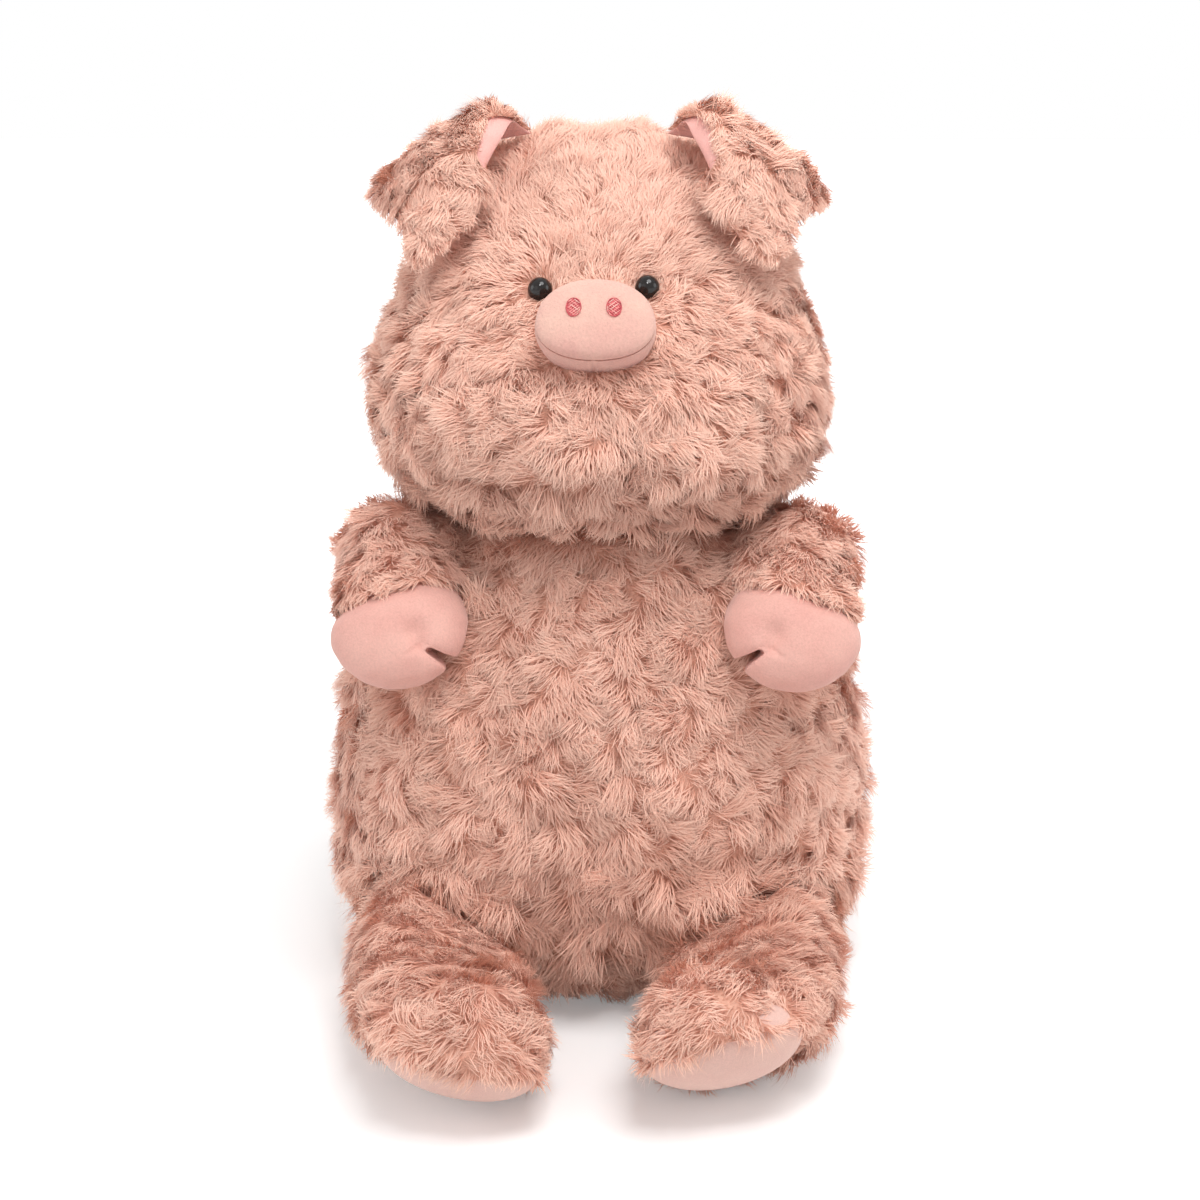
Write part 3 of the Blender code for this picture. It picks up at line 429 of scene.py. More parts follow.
def makePileTree():
    tree = bpy.data.node_groups.new("longPile", "GeometryNodeTree")
    face = tree.interface
    face.new_socket("Geometry", in_out="INPUT", socket_type="NodeSocketGeometry")
    for label, kind, value in (
            ("Hair", "Object", None), ("Material", "Material", None), ("Seed", "Int", 0),
            ("Lock Seed", "Int", 0), ("Density", "Float", 500000.0), ("Lock Spacing", "Float", 0.008),
            ("Hair Length", "Float", 0.012), ("Hair Width", "Float", hairWidth),
            ("Swirl", "Float", 0.35), ("Gather", "Float", 0.55), ("Unruly", "Float", 0.22),
            ("Curl", "Float", 0.34), ("Tuft Scale", "Float", 85.0), ("Tuft Turn", "Float", 7.5),
            ("Tuft Lift", "Float", 1.8), ("Tuft Length", "Float", 1.8),
            ("Floor", "Float", 0.0006), ("Skin Light", "Float", 0.35)):
        socket = face.new_socket(label, in_out="INPUT", socket_type="NodeSocket" + kind)
        if value is not None:
            socket.default_value = value
    face.new_socket("Geometry", in_out="OUTPUT", socket_type="NodeSocketGeometry")
    given = tree.nodes.new("NodeGroupInput").outputs
    end = tree.nodes.new("NodeGroupOutput")

    def add(kind, settings=None, **inputs):
        return nodeIn(tree, kind, settings, **inputs)

    def maths(operation, a, b=0.0):
        return add("ShaderNodeMath", {"operation": operation}, i0=a, i1=b).outputs[0]

    def vectors(operation, a, b=None, scale=None):
        node = add("ShaderNodeVectorMath", {"operation": operation}, i0=a)
        if b is not None:
            link(tree, b, node.inputs[1])
        if scale is not None:
            link(tree, scale, node.inputs["Scale"])
        return node.outputs["Value" if operation == "LENGTH" else "Vector"]

    def named(label, kind="FLOAT"):
        return add("GeometryNodeInputNamedAttribute", {"data_type": kind}, Name=label).outputs[0]

    def dice(low, high, seed, who=None):
        node = add("FunctionNodeRandomValue", {"data_type": "FLOAT"}, i2=low, i3=high)
        link(tree, maths("ADD", given["Lock Seed" if who is not None else "Seed"], float(seed)),
             node.inputs["Seed"])
        if who is not None:
            link(tree, who, node.inputs["ID"])
        return node.outputs[1]

    def store(geometry, label, value, kind="FLOAT", domain="POINT"):
        return add("GeometryNodeStoreNamedAttribute", {"data_type": kind, "domain": domain},
                   Geometry=geometry, Name=label, Value=value).outputs[0]

    skin = given["Geometry"]
    locks = add("GeometryNodeDistributePointsOnFaces", {"distribute_method": "POISSON"},
                Mesh=skin, Distance_Min=given["Lock Spacing"], Density_Max=60000.0,
                Seed=given["Lock Seed"]).outputs[0]
    roots = add("GeometryNodeDistributePointsOnFaces", Mesh=skin, Seed=given["Seed"],
                Density=maths("MULTIPLY", given["Density"], named("thick")))
    outward = roots.outputs["Normal"]
    here = add("GeometryNodeInputPosition").outputs[0]
    stray = add("FunctionNodeRandomValue", {"data_type": "FLOAT_VECTOR"}, i0=(-1, -1, -1),
                i1=(1, 1, 1), Seed=given["Seed"]).outputs[0]
    spread = maths("MULTIPLY", given["Lock Spacing"], 0.22)
    lockIndex = add("GeometryNodeSampleNearest", Geometry=locks,
                    Sample_Position=vectors("ADD", here, vectors("SCALE", stray, scale=spread))).outputs[0]

    def ofLock(value):
        return add("GeometryNodeSampleIndex", {"data_type": "FLOAT_VECTOR"}, Geometry=locks,
                   Value=value, Index=lockIndex).outputs[0]

    pull = vectors("SUBTRACT", ofLock(here), here)
    tuft = add("ShaderNodeTexNoise", Vector=here, Scale=given["Tuft Scale"], Detail=1.0).outputs["Color"]
    tuft = vectors("SCALE", vectors("SUBTRACT", tuft, (0.5, 0.5, 0.5)), scale=named("wild"))
    tuft = add("ShaderNodeSeparateXYZ", Vector=ofLock(tuft)).outputs
    turn = maths("ADD", maths("MULTIPLY", dice(-1.0, 1.0, 11, lockIndex), given["Swirl"]),
                 maths("MULTIPLY", dice(-1.0, 1.0, 12), given["Unruly"]))
    turn = maths("ADD", turn, maths("MULTIPLY", tuft[0], given["Tuft Turn"]))
    heading = add("ShaderNodeVectorRotate", {"rotation_type": "AXIS_ANGLE"},
                  Vector=ofLock(named("flow", "FLOAT_VECTOR")), Axis=outward, Angle=turn).outputs[0]
    stand = add("FunctionNodeAlignRotationToVector", {"axis": "Z"}, Vector=outward).outputs[0]
    aim = add("FunctionNodeAlignRotationToVector", {"axis": "Y", "pivot_axis": "Z"},
              Rotation=stand, Vector=heading).outputs[0]
    tilt = maths("ADD", dice(-0.12, 0.20, 13, lockIndex), dice(-0.12, 0.14, 14))
    tilt = maths("ADD", tilt, maths("MULTIPLY", tuft[1], given["Tuft Lift"]))
    aim = add("FunctionNodeRotateRotation", {"rotation_space": "LOCAL"}, i0=aim,
              i1=add("FunctionNodeAxisAngleToRotation", Axis=(1, 0, 0), Angle=tilt).outputs[0]).outputs[0]
    roll = dice(-0.5, 0.5, 15)
    aim = add("FunctionNodeRotateRotation", {"rotation_space": "LOCAL"}, i0=aim,
              i1=add("FunctionNodeAxisAngleToRotation", Axis=(0, 0, 1), Angle=roll).outputs[0]).outputs[0]
    size = maths("MULTIPLY", maths("MULTIPLY", given["Hair Length"], named("long")),
                 maths("MULTIPLY", dice(0.85, 1.15, 16, lockIndex), dice(0.72, 1.08, 17)))
    size = maths("MULTIPLY", size, maths("ADD", 1.0, maths("MULTIPLY", tuft[2], given["Tuft Length"])))
    width = maths("MULTIPLY", given["Hair Width"], dice(0.7, 1.3, 18))
    scale = add("ShaderNodeCombineXYZ", X=width, Y=size, Z=size).outputs[0]
    tone = maths("ADD", named("tone"), maths("ADD", dice(-0.16, 0.16, 19, lockIndex),
                                             dice(-0.16, 0.16, 20)))
    tone = maths("MINIMUM", maths("MAXIMUM", tone, 0.03), 0.97)
    points = store(roots.outputs[0], "pull", pull, "FLOAT_VECTOR")
    points = store(points, "shine", outward, "FLOAT_VECTOR")
    bow = maths("MULTIPLY", maths("ADD", dice(-1.0, 1.0, 21, lockIndex), dice(-0.5, 0.5, 22)),
                maths("MULTIPLY", size, given["Curl"]))
    points = store(points, "sway", vectors("SCALE", vectors("CROSS_PRODUCT", outward, heading), scale=bow),
                   "FLOAT_VECTOR")
    points = store(points, "hue", tone)
    hair = add("GeometryNodeObjectInfo", Object=given["Hair"]).outputs["Geometry"]
    grown = add("GeometryNodeInstanceOnPoints", Points=points, Instance=hair, Rotation=aim,
                Scale=scale).outputs[0]
    grown = add("GeometryNodeRealizeInstances", Geometry=grown).outputs[0]
    reach = named("reach")
    shift = vectors("SCALE", named("pull", "FLOAT_VECTOR"),
                    scale=maths("MULTIPLY", given["Gather"], maths("POWER", reach, 1.5)))
    shift = vectors("ADD", shift, vectors("SCALE", named("sway", "FLOAT_VECTOR"),
                                          scale=maths("POWER", reach, 2.0)))
    grown = add("GeometryNodeSetPosition", Geometry=grown, Offset=shift).outputs[0]
    part = add("ShaderNodeSeparateXYZ", Vector=add("GeometryNodeInputPosition").outputs[0]).outputs
    lifted = add("ShaderNodeCombineXYZ", X=part[0], Y=part[1], Z=maths("MAXIMUM", part[2], given["Floor"]))
    grown = add("GeometryNodeSetPosition", Geometry=grown, Position=lifted.outputs[0]).outputs[0]
    spot = add("ShaderNodeCombineXYZ",
               X=maths("ADD", named("hue"), maths("MULTIPLY", named("edge"), 0.005)),
               Y=maths("ADD", maths("MULTIPLY", reach, 0.96), 0.02)).outputs[0]
    grown = store(grown, "OFBake", spot, "FLOAT2", "CORNER")
    bent = add("ShaderNodeMix", {"data_type": "VECTOR"})
    link(tree, given["Skin Light"], bent.inputs[0])
    link(tree, add("GeometryNodeInputNormal").outputs[0], bent.inputs[4])
    link(tree, named("shine", "FLOAT_VECTOR"), bent.inputs[5])
    lit = add("GeometryNodeSetMeshNormal", {"mode": "FREE", "domain": "POINT"}, Mesh=grown)
    link(tree, vectors("NORMALIZE", bent.outputs[1]), lit.inputs["Custom Normal"])
    done = add("GeometryNodeSetMaterial", Geometry=lit.outputs[0], Material=given["Material"])
    link(tree, done.outputs[0], end.inputs[0])
    return tree


hair, pileTree = makeHair(), makePileTree()
socketOf = socketsOf(pileTree)
furOnly = 1.0
lockSeed = 0


def growPile(skin, body, look, **more):
    global lockSeed
    lockSeed += 1
    mesh = skin.data
    thick = np.empty(len(mesh.vertices), np.float32)
    mesh.attributes["thick"].data.foreach_get("value", thick)
    room = sum(p.area * thick[list(p.vertices)].mean() for p in mesh.polygons)
    hairs = look["hairs"] * furOnly
    shares = max(1, math.ceil(hairs * facesPerHair / facesPerPiece))
    settings = {"Hair": hair, "Material": furMaterial, "Density": hairs / room / shares,
                "Hair Length": look["hairLength"], "Hair Width": hairWidth / math.sqrt(furOnly),
                "Lock Seed": 7 * lockSeed, "Lock Spacing": look["lockSpacing"],
                "Swirl": look["swirl"], "Gather": look["gather"], **more}
    total = 0
    for share in range(shares):
        pile = pieceOf(f"{skin.name}Pile{share + 1}", mesh.copy())
        grow = pile.modifiers.new("Pile", "NODES")
        grow.node_group = pileTree
        for label, value in {**settings, "Seed": 100 * lockSeed + share}.items():
            grow[socketOf[label]] = value
        settle(pile)
        for label in ("pull", "sway", "shine", "hue", "reach", "edge",
                      "flow", "thick", "long", "tone", "wild"):
            if label in pile.data.attributes:
                pile.data.attributes.remove(pile.data.attributes[label])
        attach(pile, body)
        total += len(pile.data.polygons)
    print(f"{skin.name}: {shares} pile pieces, {total} faces, room {room:.4f} m2")


def dressSkin(skin, flow, thick, long=None, tone=None, wild=None):
    mesh = skin.data
    count = len(mesh.vertices)
    mark(mesh, "flow", flow)
    mark(mesh, "thick", thick)
    mark(mesh, "long", np.ones(count) if long is None else long)
    mark(mesh, "wild", np.ones(count) if wild is None else wild)
    shade = 0.5 + 0.30 * ripple(spots(mesh), 28, 3.0) + 0.15 * ripple(spots(mesh), 70, 9.0)
    mark(mesh, "tone", shade if tone is None else tone + shade - 0.5)


def treeOf(names):
    bm = bmesh.new()
    for name in names:
        bm.from_mesh(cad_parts[name].data)
    tree = BVHTree.FromBMesh(bm)
    bm.free()
    return tree


def apart(points, names, reach):  # 0 where another piece touches, 1 from the reach on
    tree = treeOf(names)
    return np.array([min(tree.find_nearest(Vector(p))[3] / reach, 1) for p in points])


def covered(points, normals, names, reach):  # 1 where another piece lies close over the skin
    tree = treeOf(names)
    return np.array([tree.ray_cast(Vector(p), Vector(n), reach)[0] is not None
                     for p, n in zip(points, normals)], float)


# Head

headLook = {"voxel": 0.004, "pileDepth": 0.0050, "bump": 0.0024, "hairs": 118000,
            "hairLength": 0.0130, "lockSpacing": 0.0050, "swirl": 0.28, "gather": 0.38}
snoutPlace = np.array((0.0, -0.10609, 0.34828))
snoutFacing = np.array((0.0, -0.86603, 0.5))
snoutUp = np.array((0.0, 0.5, 0.86603))
eyePlaces = {side: (np.array((sign * 0.0245, -0.0871, 0.36807)),
                    unit(np.array((sign * 0.0686, -0.7585, 0.648)))) for side, sign in sides.items()}
eyeShift = {"left": np.array((-0.0006, 0, -0.0005)), "right": np.array((-0.0014, 0, -0.0016))}
neckHeight = 0.253


def makeHeadSkin():
    skin = softForm("headSkin", ["head_cover", "head_filling"], headLook["voxel"], 4)
    before = spots(skin.data)
    depth = headLook["pileDepth"] - bumps(before, 4.0, headLook["bump"])
    after = before - pointing(skin.data) * depth[:, None]
    rise = np.clip((before[:, 2] - neckHeight - 0.002) / 0.012, 0, 1)
    after[:, 2] = before[:, 2] * (1 - rise) + after[:, 2] * rise
    after[:, 2] += 0.0030 * np.clip((after[:, 2] - 0.400) / 0.03, 0, 1)
    move(skin.data, after)
    stuff(skin, before[:, 2] < neckHeight + 0.010)
    p, n = spots(skin.data), pointing(skin.data)
    fromSnout = p - (snoutPlace + (0, 0.01, 0.0))
    far = np.linalg.norm(fromSnout, axis=1)
    upper = np.clip((p[:, 2] - 0.345) / 0.03, 0, 1) * np.clip((-p[:, 1] + 0.03) / 0.05, 0, 1)
    radial = np.maximum(np.exp(-(far / 0.06) ** 2), 0.9 * upper)
    sideways = np.stack([np.sign(p[:, 0]) * 0.8, 0 * far, -np.ones(len(p))], 1)
    flow = unit(fromSnout) * radial[:, None] + sideways * (1 - radial)[:, None]
    flow = spun(along(flow, n), n, nap(p, 5.0, 1.0, 0.9) * np.clip((far - 0.025) / 0.03, 0.15, 1))
    thick = 0.45 + 0.55 * np.clip((-p[:, 1] + 0.05) / 0.06, 0, 1)
    long = 1 - 0.45 * near(p, snoutPlace, 0.034)
    long += 0.12 * np.clip((0.33 - p[:, 2]) / 0.06, 0, 1)
    for eye, (place, facing) in eyePlaces.items():
        away = p - place - eyeShift[eye]
        close = np.exp(-(np.linalg.norm(away, axis=1) / 0.012) ** 2)
        flow = along(flow * (1 - close[:, None]) + unit(away) * 1.5 * close[:, None], n)
        thick *= np.clip((np.linalg.norm(away, axis=1) - 0.0062) / 0.0025, 0, 1)
        long *= 1 - 0.25 * close
    across = p - snoutPlace
    off = np.abs(across @ snoutFacing)
    oval = np.sqrt((across[:, 0] / 0.0245) ** 2 + ((across @ snoutUp) / 0.018) ** 2)
    thick *= np.where((oval < 1) & (p[:, 1] < -0.06), 0, 1)
    thick *= np.where(p[:, 2] < neckHeight + 0.002, 0.0, 1)
    # painted light: the fur is lighter on the top of the head; painted shade: it is darker under the head,
    # where the surface faces down
    tone = 0.5 + 0.10 * np.clip((p[:, 2] - 0.37) / 0.05, 0, 1) - 0.40 * np.clip(-n[:, 2] * 1.6, 0, 1)
    calm = np.clip((p[:, 2] - 0.345) / 0.04, 0, 1)
    calm = np.maximum(calm, near(p, snoutPlace, 0.045))
    dressSkin(skin, along(flow, n), thick, long, tone, 1 - 0.6 * calm)
    return skin


headSkin = makeHeadSkin()
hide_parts("head_cover", "head_filling")
growPile(headSkin, "head", headLook, **{"Tuft Lift": 2.1})
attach(headSkin, "head")
print("head is made")


# Body

bodyLook = {"voxel": 0.004, "pileDepth": 0.0050, "bump": 0.0028, "hairs": 150000,
            "hairLength": 0.0130, "lockSpacing": 0.0054, "swirl": 0.30, "gather": 0.40}


def makeBodySkin():
    skin = softForm("bodySkin", ["body_cover", "body_filling"], bodyLook["voxel"], 4)
    before = spots(skin.data)
    depth = bodyLook["pileDepth"] - bumps(before, 2.0, bodyLook["bump"])
    limbs = ["sleeve_left", "sleeve_right", "leg_cover_left", "leg_cover_right"]
    depth *= 0.25 + 0.75 * apart(before, limbs, 0.010)
    after = before - pointing(skin.data) * depth[:, None]
    rise = np.clip((neckHeight - 0.003 - before[:, 2]) / 0.012, 0, 1)
    after[:, 2] = before[:, 2] * (1 - rise) + after[:, 2] * rise
    after[:, 2] = np.where(before[:, 2] < 0.001, 0.0032, after[:, 2])
    move(skin.data, after)
    stuff(skin, (before[:, 2] > neckHeight - 0.012) | (before[:, 2] < 0.004))
    p, n = spots(skin.data), pointing(skin.data)
    down = np.stack([0.45 * np.tanh(p[:, 0] / 0.03) * (p[:, 1] < 0), np.zeros(len(p)), -np.ones(len(p))], 1)
    under = np.clip((0.03 - p[:, 2]) / 0.03, 0, 1)[:, None]
    flow = down * (1 - under) + np.stack([0 * p[:, 0], np.ones(len(p)), 0 * p[:, 0]], 1) * under
    flow = spun(along(flow, n), n, nap(p, 2.0, 1.2, 1.2))
    thick = 0.42 + 0.58 * np.clip((-p[:, 1] + 0.03) / 0.05, 0, 1)
    thick *= np.where(p[:, 2] < 0.006, 0.12, 1)
    thick *= 1 - 0.4 * covered(p, n, limbs, 0.002)
    thick *= np.where(p[:, 2] > neckHeight - 0.003, 0.0, 1)
    hang = np.exp(-((p[:, 2] - 0.062) / 0.022) ** 2) * (p[:, 1] < -0.02)
    # painted light: the fur is lighter on the body's sides; painted shade: it is darker on the low body,
    # where the surface faces down
    side = np.clip((np.abs(p[:, 0]) - 0.085) / 0.04, 0, 1)
    tone = 0.5 + 0.35 * side - 0.45 * np.clip(-n[:, 2] * 1.5, 0, 1) * (p[:, 2] < 0.15)
    dressSkin(skin, along(flow, n), thick, 1 + 0.30 * hang, tone)
    return skin


bodySkin = makeBodySkin()
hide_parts("body_cover", "body_filling")
growPile(bodySkin, "body", bodyLook, **{"Tuft Scale": 62.0, "Tuft Lift": 2.4, "Tuft Length": 2.2})
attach(bodySkin, "body")
print("body is made")


# Legs and soles

legLook = {"hip": (0.08251, -0.06611, 0.03949), "voxel": 0.0035, "pileDepth": 0.0042,
           "bump": 0.0020, "hairs": 27000, "hairLength": 0.0125, "lockSpacing": 0.0050,
           "swirl": 0.30, "gather": 0.38, "innerDrop": 0.020, "soleLength": 0.0735, "soleWidth": 0.0551, "soleDome": 0.0139, "soleDepth": 0.009}
soleLook = {"left": {"middle": (0.05944, -0.20051, 0.04087), "facing": (0.2087, -0.8084, -0.5504),
                     "long": (-0.9779, -0.1657, -0.1275), "lift": 0.0085, "top": 0.86,
                     "line": ((-1.0, 0.15), (-0.94, 0.32), (-0.74, 0.56), (-0.38, 0.73),
                              (-0.04, 0.71), (0.29, 0.58), (0.60, 0.42), (0.78, 0.37), (0.99, 0.06))},
            "right": {"middle": (-0.05962, -0.20256, 0.03319), "facing": (-0.1995, -0.7024, -0.6833),
                      "long": (0.9798, -0.1502, -0.1317), "lift": 0.0, "top": 0.78,
                      "line": ((-1.0, 0.20), (-0.92, 0.35), (-0.69, 0.45), (-0.29, 0.49),
                               (0.04, 0.54), (0.55, 0.43), (0.79, 0.31), (0.97, 0.02))}}


def soleFrame(side):
    middle, facing, longAxis = (np.array(soleLook[side][part]) for part in ("middle", "facing", "long"))
    shortAxis = np.cross(facing, longAxis)
    return middle, facing, longAxis, shortAxis * np.sign(shortAxis[2])


def soleRise(share):
    return legLook["soleDome"] * (1 - np.minimum(share, 1) ** 2.4) ** 0.6


def oval(turns, roundness):
    c, s = np.cos(turns), np.sin(turns)
    return np.sign(c) * np.abs(c) ** (2 / roundness), np.sign(s) * np.abs(s) ** (2 / roundness)


def toeForm(side):  # the toe behind the sole's dome
    middle, facing, longAxis, shortAxis = soleFrame(side)
    turns = np.linspace(0, 2 * math.pi, 49)[:-1]
    c, s = np.cos(turns), np.sin(turns)
    s = np.where(s > 0, 1.14, 0.90) * s
    shares = (1.0, 0.95, 0.85, 0.7, 0.5, 0.25)
    rows = [middle + np.outer(c, longAxis) * legLook["soleLength"] / 2 * share
            + np.outer(s, shortAxis) * legLook["soleWidth"] / 2 * share + facing * rise
            for share, rise in ((0.6, -0.036), (0.85, -0.026), (0.97, -0.014), (1.0, -0.004),
                                *((share, soleRise(share)) for share in shares))]
    return gridMesh(f"toe_{side}", rows, middle - facing * 0.038, middle + facing * legLook["soleDome"])


def makeLeg(side, sign):
    skin = softForm(f"legSkin_{side}", [f"leg_cover_{side}", f"leg_filling_{side}", f"sole_{side}"],
                    legLook["voxel"], 3, toeForm(side))
    before = spots(skin.data)
    depth = legLook["pileDepth"] - bumps(before, 5.0, legLook["bump"])
    depth *= 0.25 + 0.75 * apart(before, ["body_cover"], 0.010)
    after = before - pointing(skin.data) * depth[:, None]
    after[:, 2] = np.where(before[:, 2] < 0.001, 0.003, after[:, 2])
    inner = np.clip((0.098 - sign * after[:, 0]) / 0.050, 0, 1) ** 0.8
    inner *= np.clip((after[:, 1] + 0.185) / 0.05, 0, 1)
    after[:, 2] -= legLook["innerDrop"] * inner * np.clip((after[:, 2] - 0.025) / 0.045, 0, 1)
    after[:, 2] += soleLook[side]["lift"] * (np.clip((-0.15 - after[:, 1]) / 0.04, 0, 1)
                                             * np.clip((0.055 - after[:, 2]) / 0.04, 0, 1))
    move(skin.data, after)
    stuff(skin, before[:, 2] < 0.004)
    middle, facing, longAxis, shortAxis = soleFrame(side)
    p, n = spots(skin.data), pointing(skin.data)
    flat = p - middle
    u, v = flat @ longAxis / (legLook["soleLength"] / 2), flat @ shortAxis / (legLook["soleWidth"] / 2)
    share = np.hypot(u, v)
    overLine = v - np.interp(u, *zip(*soleLook[side]["line"]))
    furred = overLine > 0.12
    rise = soleRise(share) + np.where(furred, 0.0010, -0.0028)
    swell = np.clip((1.14 - share) / 0.12, 0, 1) * np.clip((n @ facing - 0.2) / 0.3, 0, 1)
    move(skin.data, p + np.outer((rise - flat @ facing) * swell, facing))
    p, n = spots(skin.data), pointing(skin.data)
    hip = np.array(legLook["hip"]) * (sign, 1, 1)
    flow = np.tile(unit(middle - hip) * 0.6, (len(p), 1)) + (sign * 0.35, 0, -0.75)
    flow = spun(along(flow, n), n, nap(p, 4.0 + sign, 1.0, 1.0))
    thick = np.where((share < 1.0) & (swell > 0.3) & ~furred, 0.0, 1.0)
    thick *= np.where(p[:, 2] < 0.005, 0.15, 1)
    thick *= 1 - 0.4 * covered(p, n, ["body_cover"], 0.002)
    rim = np.clip(1 - (share - 1) / 0.3, 0, 1) * (flat @ facing > -0.012)
    above = rim * np.clip((overLine + 0.12) / 0.2, 0, 1)
    below = np.clip(1 - (share - 1) / 0.6, 0, 1) * (flat @ facing > -0.022) * np.clip(-overLine / 0.15, 0, 1)
    flow = along(flow * (1 - above - below)[:, None] - np.outer(2.0 * below, facing)
                 - np.outer(1.5 * above, shortAxis) + np.outer(0.2 * above, facing), n)
    dressSkin(skin, flow, thick, 1 - 0.12 * above - 0.5 * below)
    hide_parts(f"leg_cover_{side}", f"leg_filling_{side}")
    growPile(skin, f"leg_{side}", legLook, **{"Skin Light": 0.5})
    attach(skin, f"leg_{side}")

    turns = np.linspace(0, 2 * math.pi, 65)[:-1]
    c, s = np.cos(turns), np.sin(turns)
    rows = []
    shares = (1.0, 0.995, 0.98, 0.95, 0.91, 0.85, 0.77, 0.67, 0.55, 0.41, 0.23)
    s = np.where(s > 0, soleLook[side]["top"] * s, s)
    sunk = np.outer(-0.0015 * np.maximum(s, 0) ** 2, facing)
    for share, rise in ((0.80, -legLook["soleDepth"]), (0.96, -legLook["soleDepth"] + 0.0008),
                        (0.995, -0.0035), *((share, soleRise(share)) for share in shares)):
        rows.append(middle + np.outer(c, longAxis) * legLook["soleLength"] / 2 * share
                    + np.outer(s, shortAxis) * legLook["soleWidth"] / 2 * share
                    + facing * rise + sunk * share)
    mesh = gridMesh(f"solePad_{side}", rows, middle - facing * legLook["soleDepth"],
                    middle + facing * legLook["soleDome"])
    pad = rounded(pieceOf(f"solePad_{side}", mesh, soleFabric))
    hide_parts(f"sole_{side}")
    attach(pad, f"leg_{side}")


for side, sign in sides.items():
    makeLeg(side, sign)
print("legs and soles are made")


# Arms and hooves

viewUp, viewFacing = np.array((0.0, 0.259, 0.966)), np.array((0.0, -0.966, 0.259))
armLook = {"voxel": 0.003, "socketFill": 0.0038, "pileDepth": 0.0042, "bump": 0.0018,
           "hairs": 13000, "hairLength": 0.0120, "lockSpacing": 0.0050, "swirl": 0.28,
           "gather": 0.38, "hoofVoxel": 0.0022, "cleftVoxel": 0.00095, "swell": 0.0007,
           "hoofShift": (0.0012, -0.001, 0.0052), "dimpleDepth": 0.0040, "wrinkleDepth": 0.0011}
armPlaces = {"cuff": (0.09697, -0.08295, 0.21634), "cuffPlane": (0.09485, -0.08577, 0.21029),
             "cuffFacing": (-0.30157, -0.4021, -0.86451), "lean": (-0.20006, -0.63019, -0.75023),
             "shoulder": (0.08797, -0.02995, 0.21884)}  # on the left; the right is mirrored
cleftOutline = ((-0.0014, 0.0), (0.0, 0.0009), (0.005, 0.0013), (0.010, 0.0018), (0.015, 0.0027),
                (0.026, 0.0060), (0.026, -0.0120), (0.015, -0.0047), (0.0115, -0.0025),
                (0.005, -0.0014), (0.0, -0.0008))


def sliced(piece, place, facing):  # keeps what lies behind a plane, and closes the cut
    bm = bmesh.new()
    bm.from_mesh(piece.data)
    bmesh.ops.bisect_plane(bm, geom=bm.verts[:] + bm.edges[:] + bm.faces[:], dist=1e-5,
                           plane_co=Vector(place), plane_no=Vector(facing), clear_outer=True)
    bmesh.ops.holes_fill(bm, edges=[e for e in bm.edges if e.is_boundary], sides=0)
    bmesh.ops.triangulate(bm, faces=[f for f in bm.faces if len(f.verts) > 4])
    bmesh.ops.recalc_face_normals(bm, faces=bm.faces)
    if bm.calc_volume(signed=True) < 0:
        bmesh.ops.reverse_faces(bm, faces=bm.faces)
    bm.to_mesh(piece.data)
    bm.free()


def hoofForm(side, cuffPlane, cuffFacing):  # the closed hoof without its cleft
    sources = [spots(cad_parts[name].data) for name in (f"hoof_{side}", f"arm_filling_{side}")]
    points = np.concatenate(sources)
    points = points[(points - cuffPlane) @ cuffFacing > -0.018]
    bm = bmesh.new()
    made = [bm.verts.new(p) for p in points]
    hull = bmesh.ops.convex_hull(bm, input=made)
    spare = {v for v in hull["geom_interior"] + hull["geom_unused"] if isinstance(v, bmesh.types.BMVert)}
    bmesh.ops.delete(bm, geom=list(spare), context="VERTS")
    bmesh.ops.recalc_face_normals(bm, faces=bm.faces)
    mesh = bpy.data.meshes.new(f"hoof_{side}_plush")
    bm.to_mesh(mesh)
    bm.free()
    return evened(pieceOf(f"hoof_{side}_plush", mesh), armLook["hoofVoxel"], 6)


def cleave(hoof, inner, outward, upward):
    rows = [[inner + outward * a + upward * b + viewFacing * depth for a, b in cleftOutline]
            for depth in np.linspace(-0.06, 0.03, 10)]
    middle = inner + outward * 0.010
    cutter = pieceOf("cutter", gridMesh("cutter", rows, middle - viewFacing * 0.06,
                                        middle + viewFacing * 0.03))
    cut = hoof.modifiers.new("Cleft", "BOOLEAN")
    cut.operation, cut.object, cut.solver = "DIFFERENCE", cutter, "EXACT"
    settle(hoof)
    bpy.data.objects.remove(cutter)


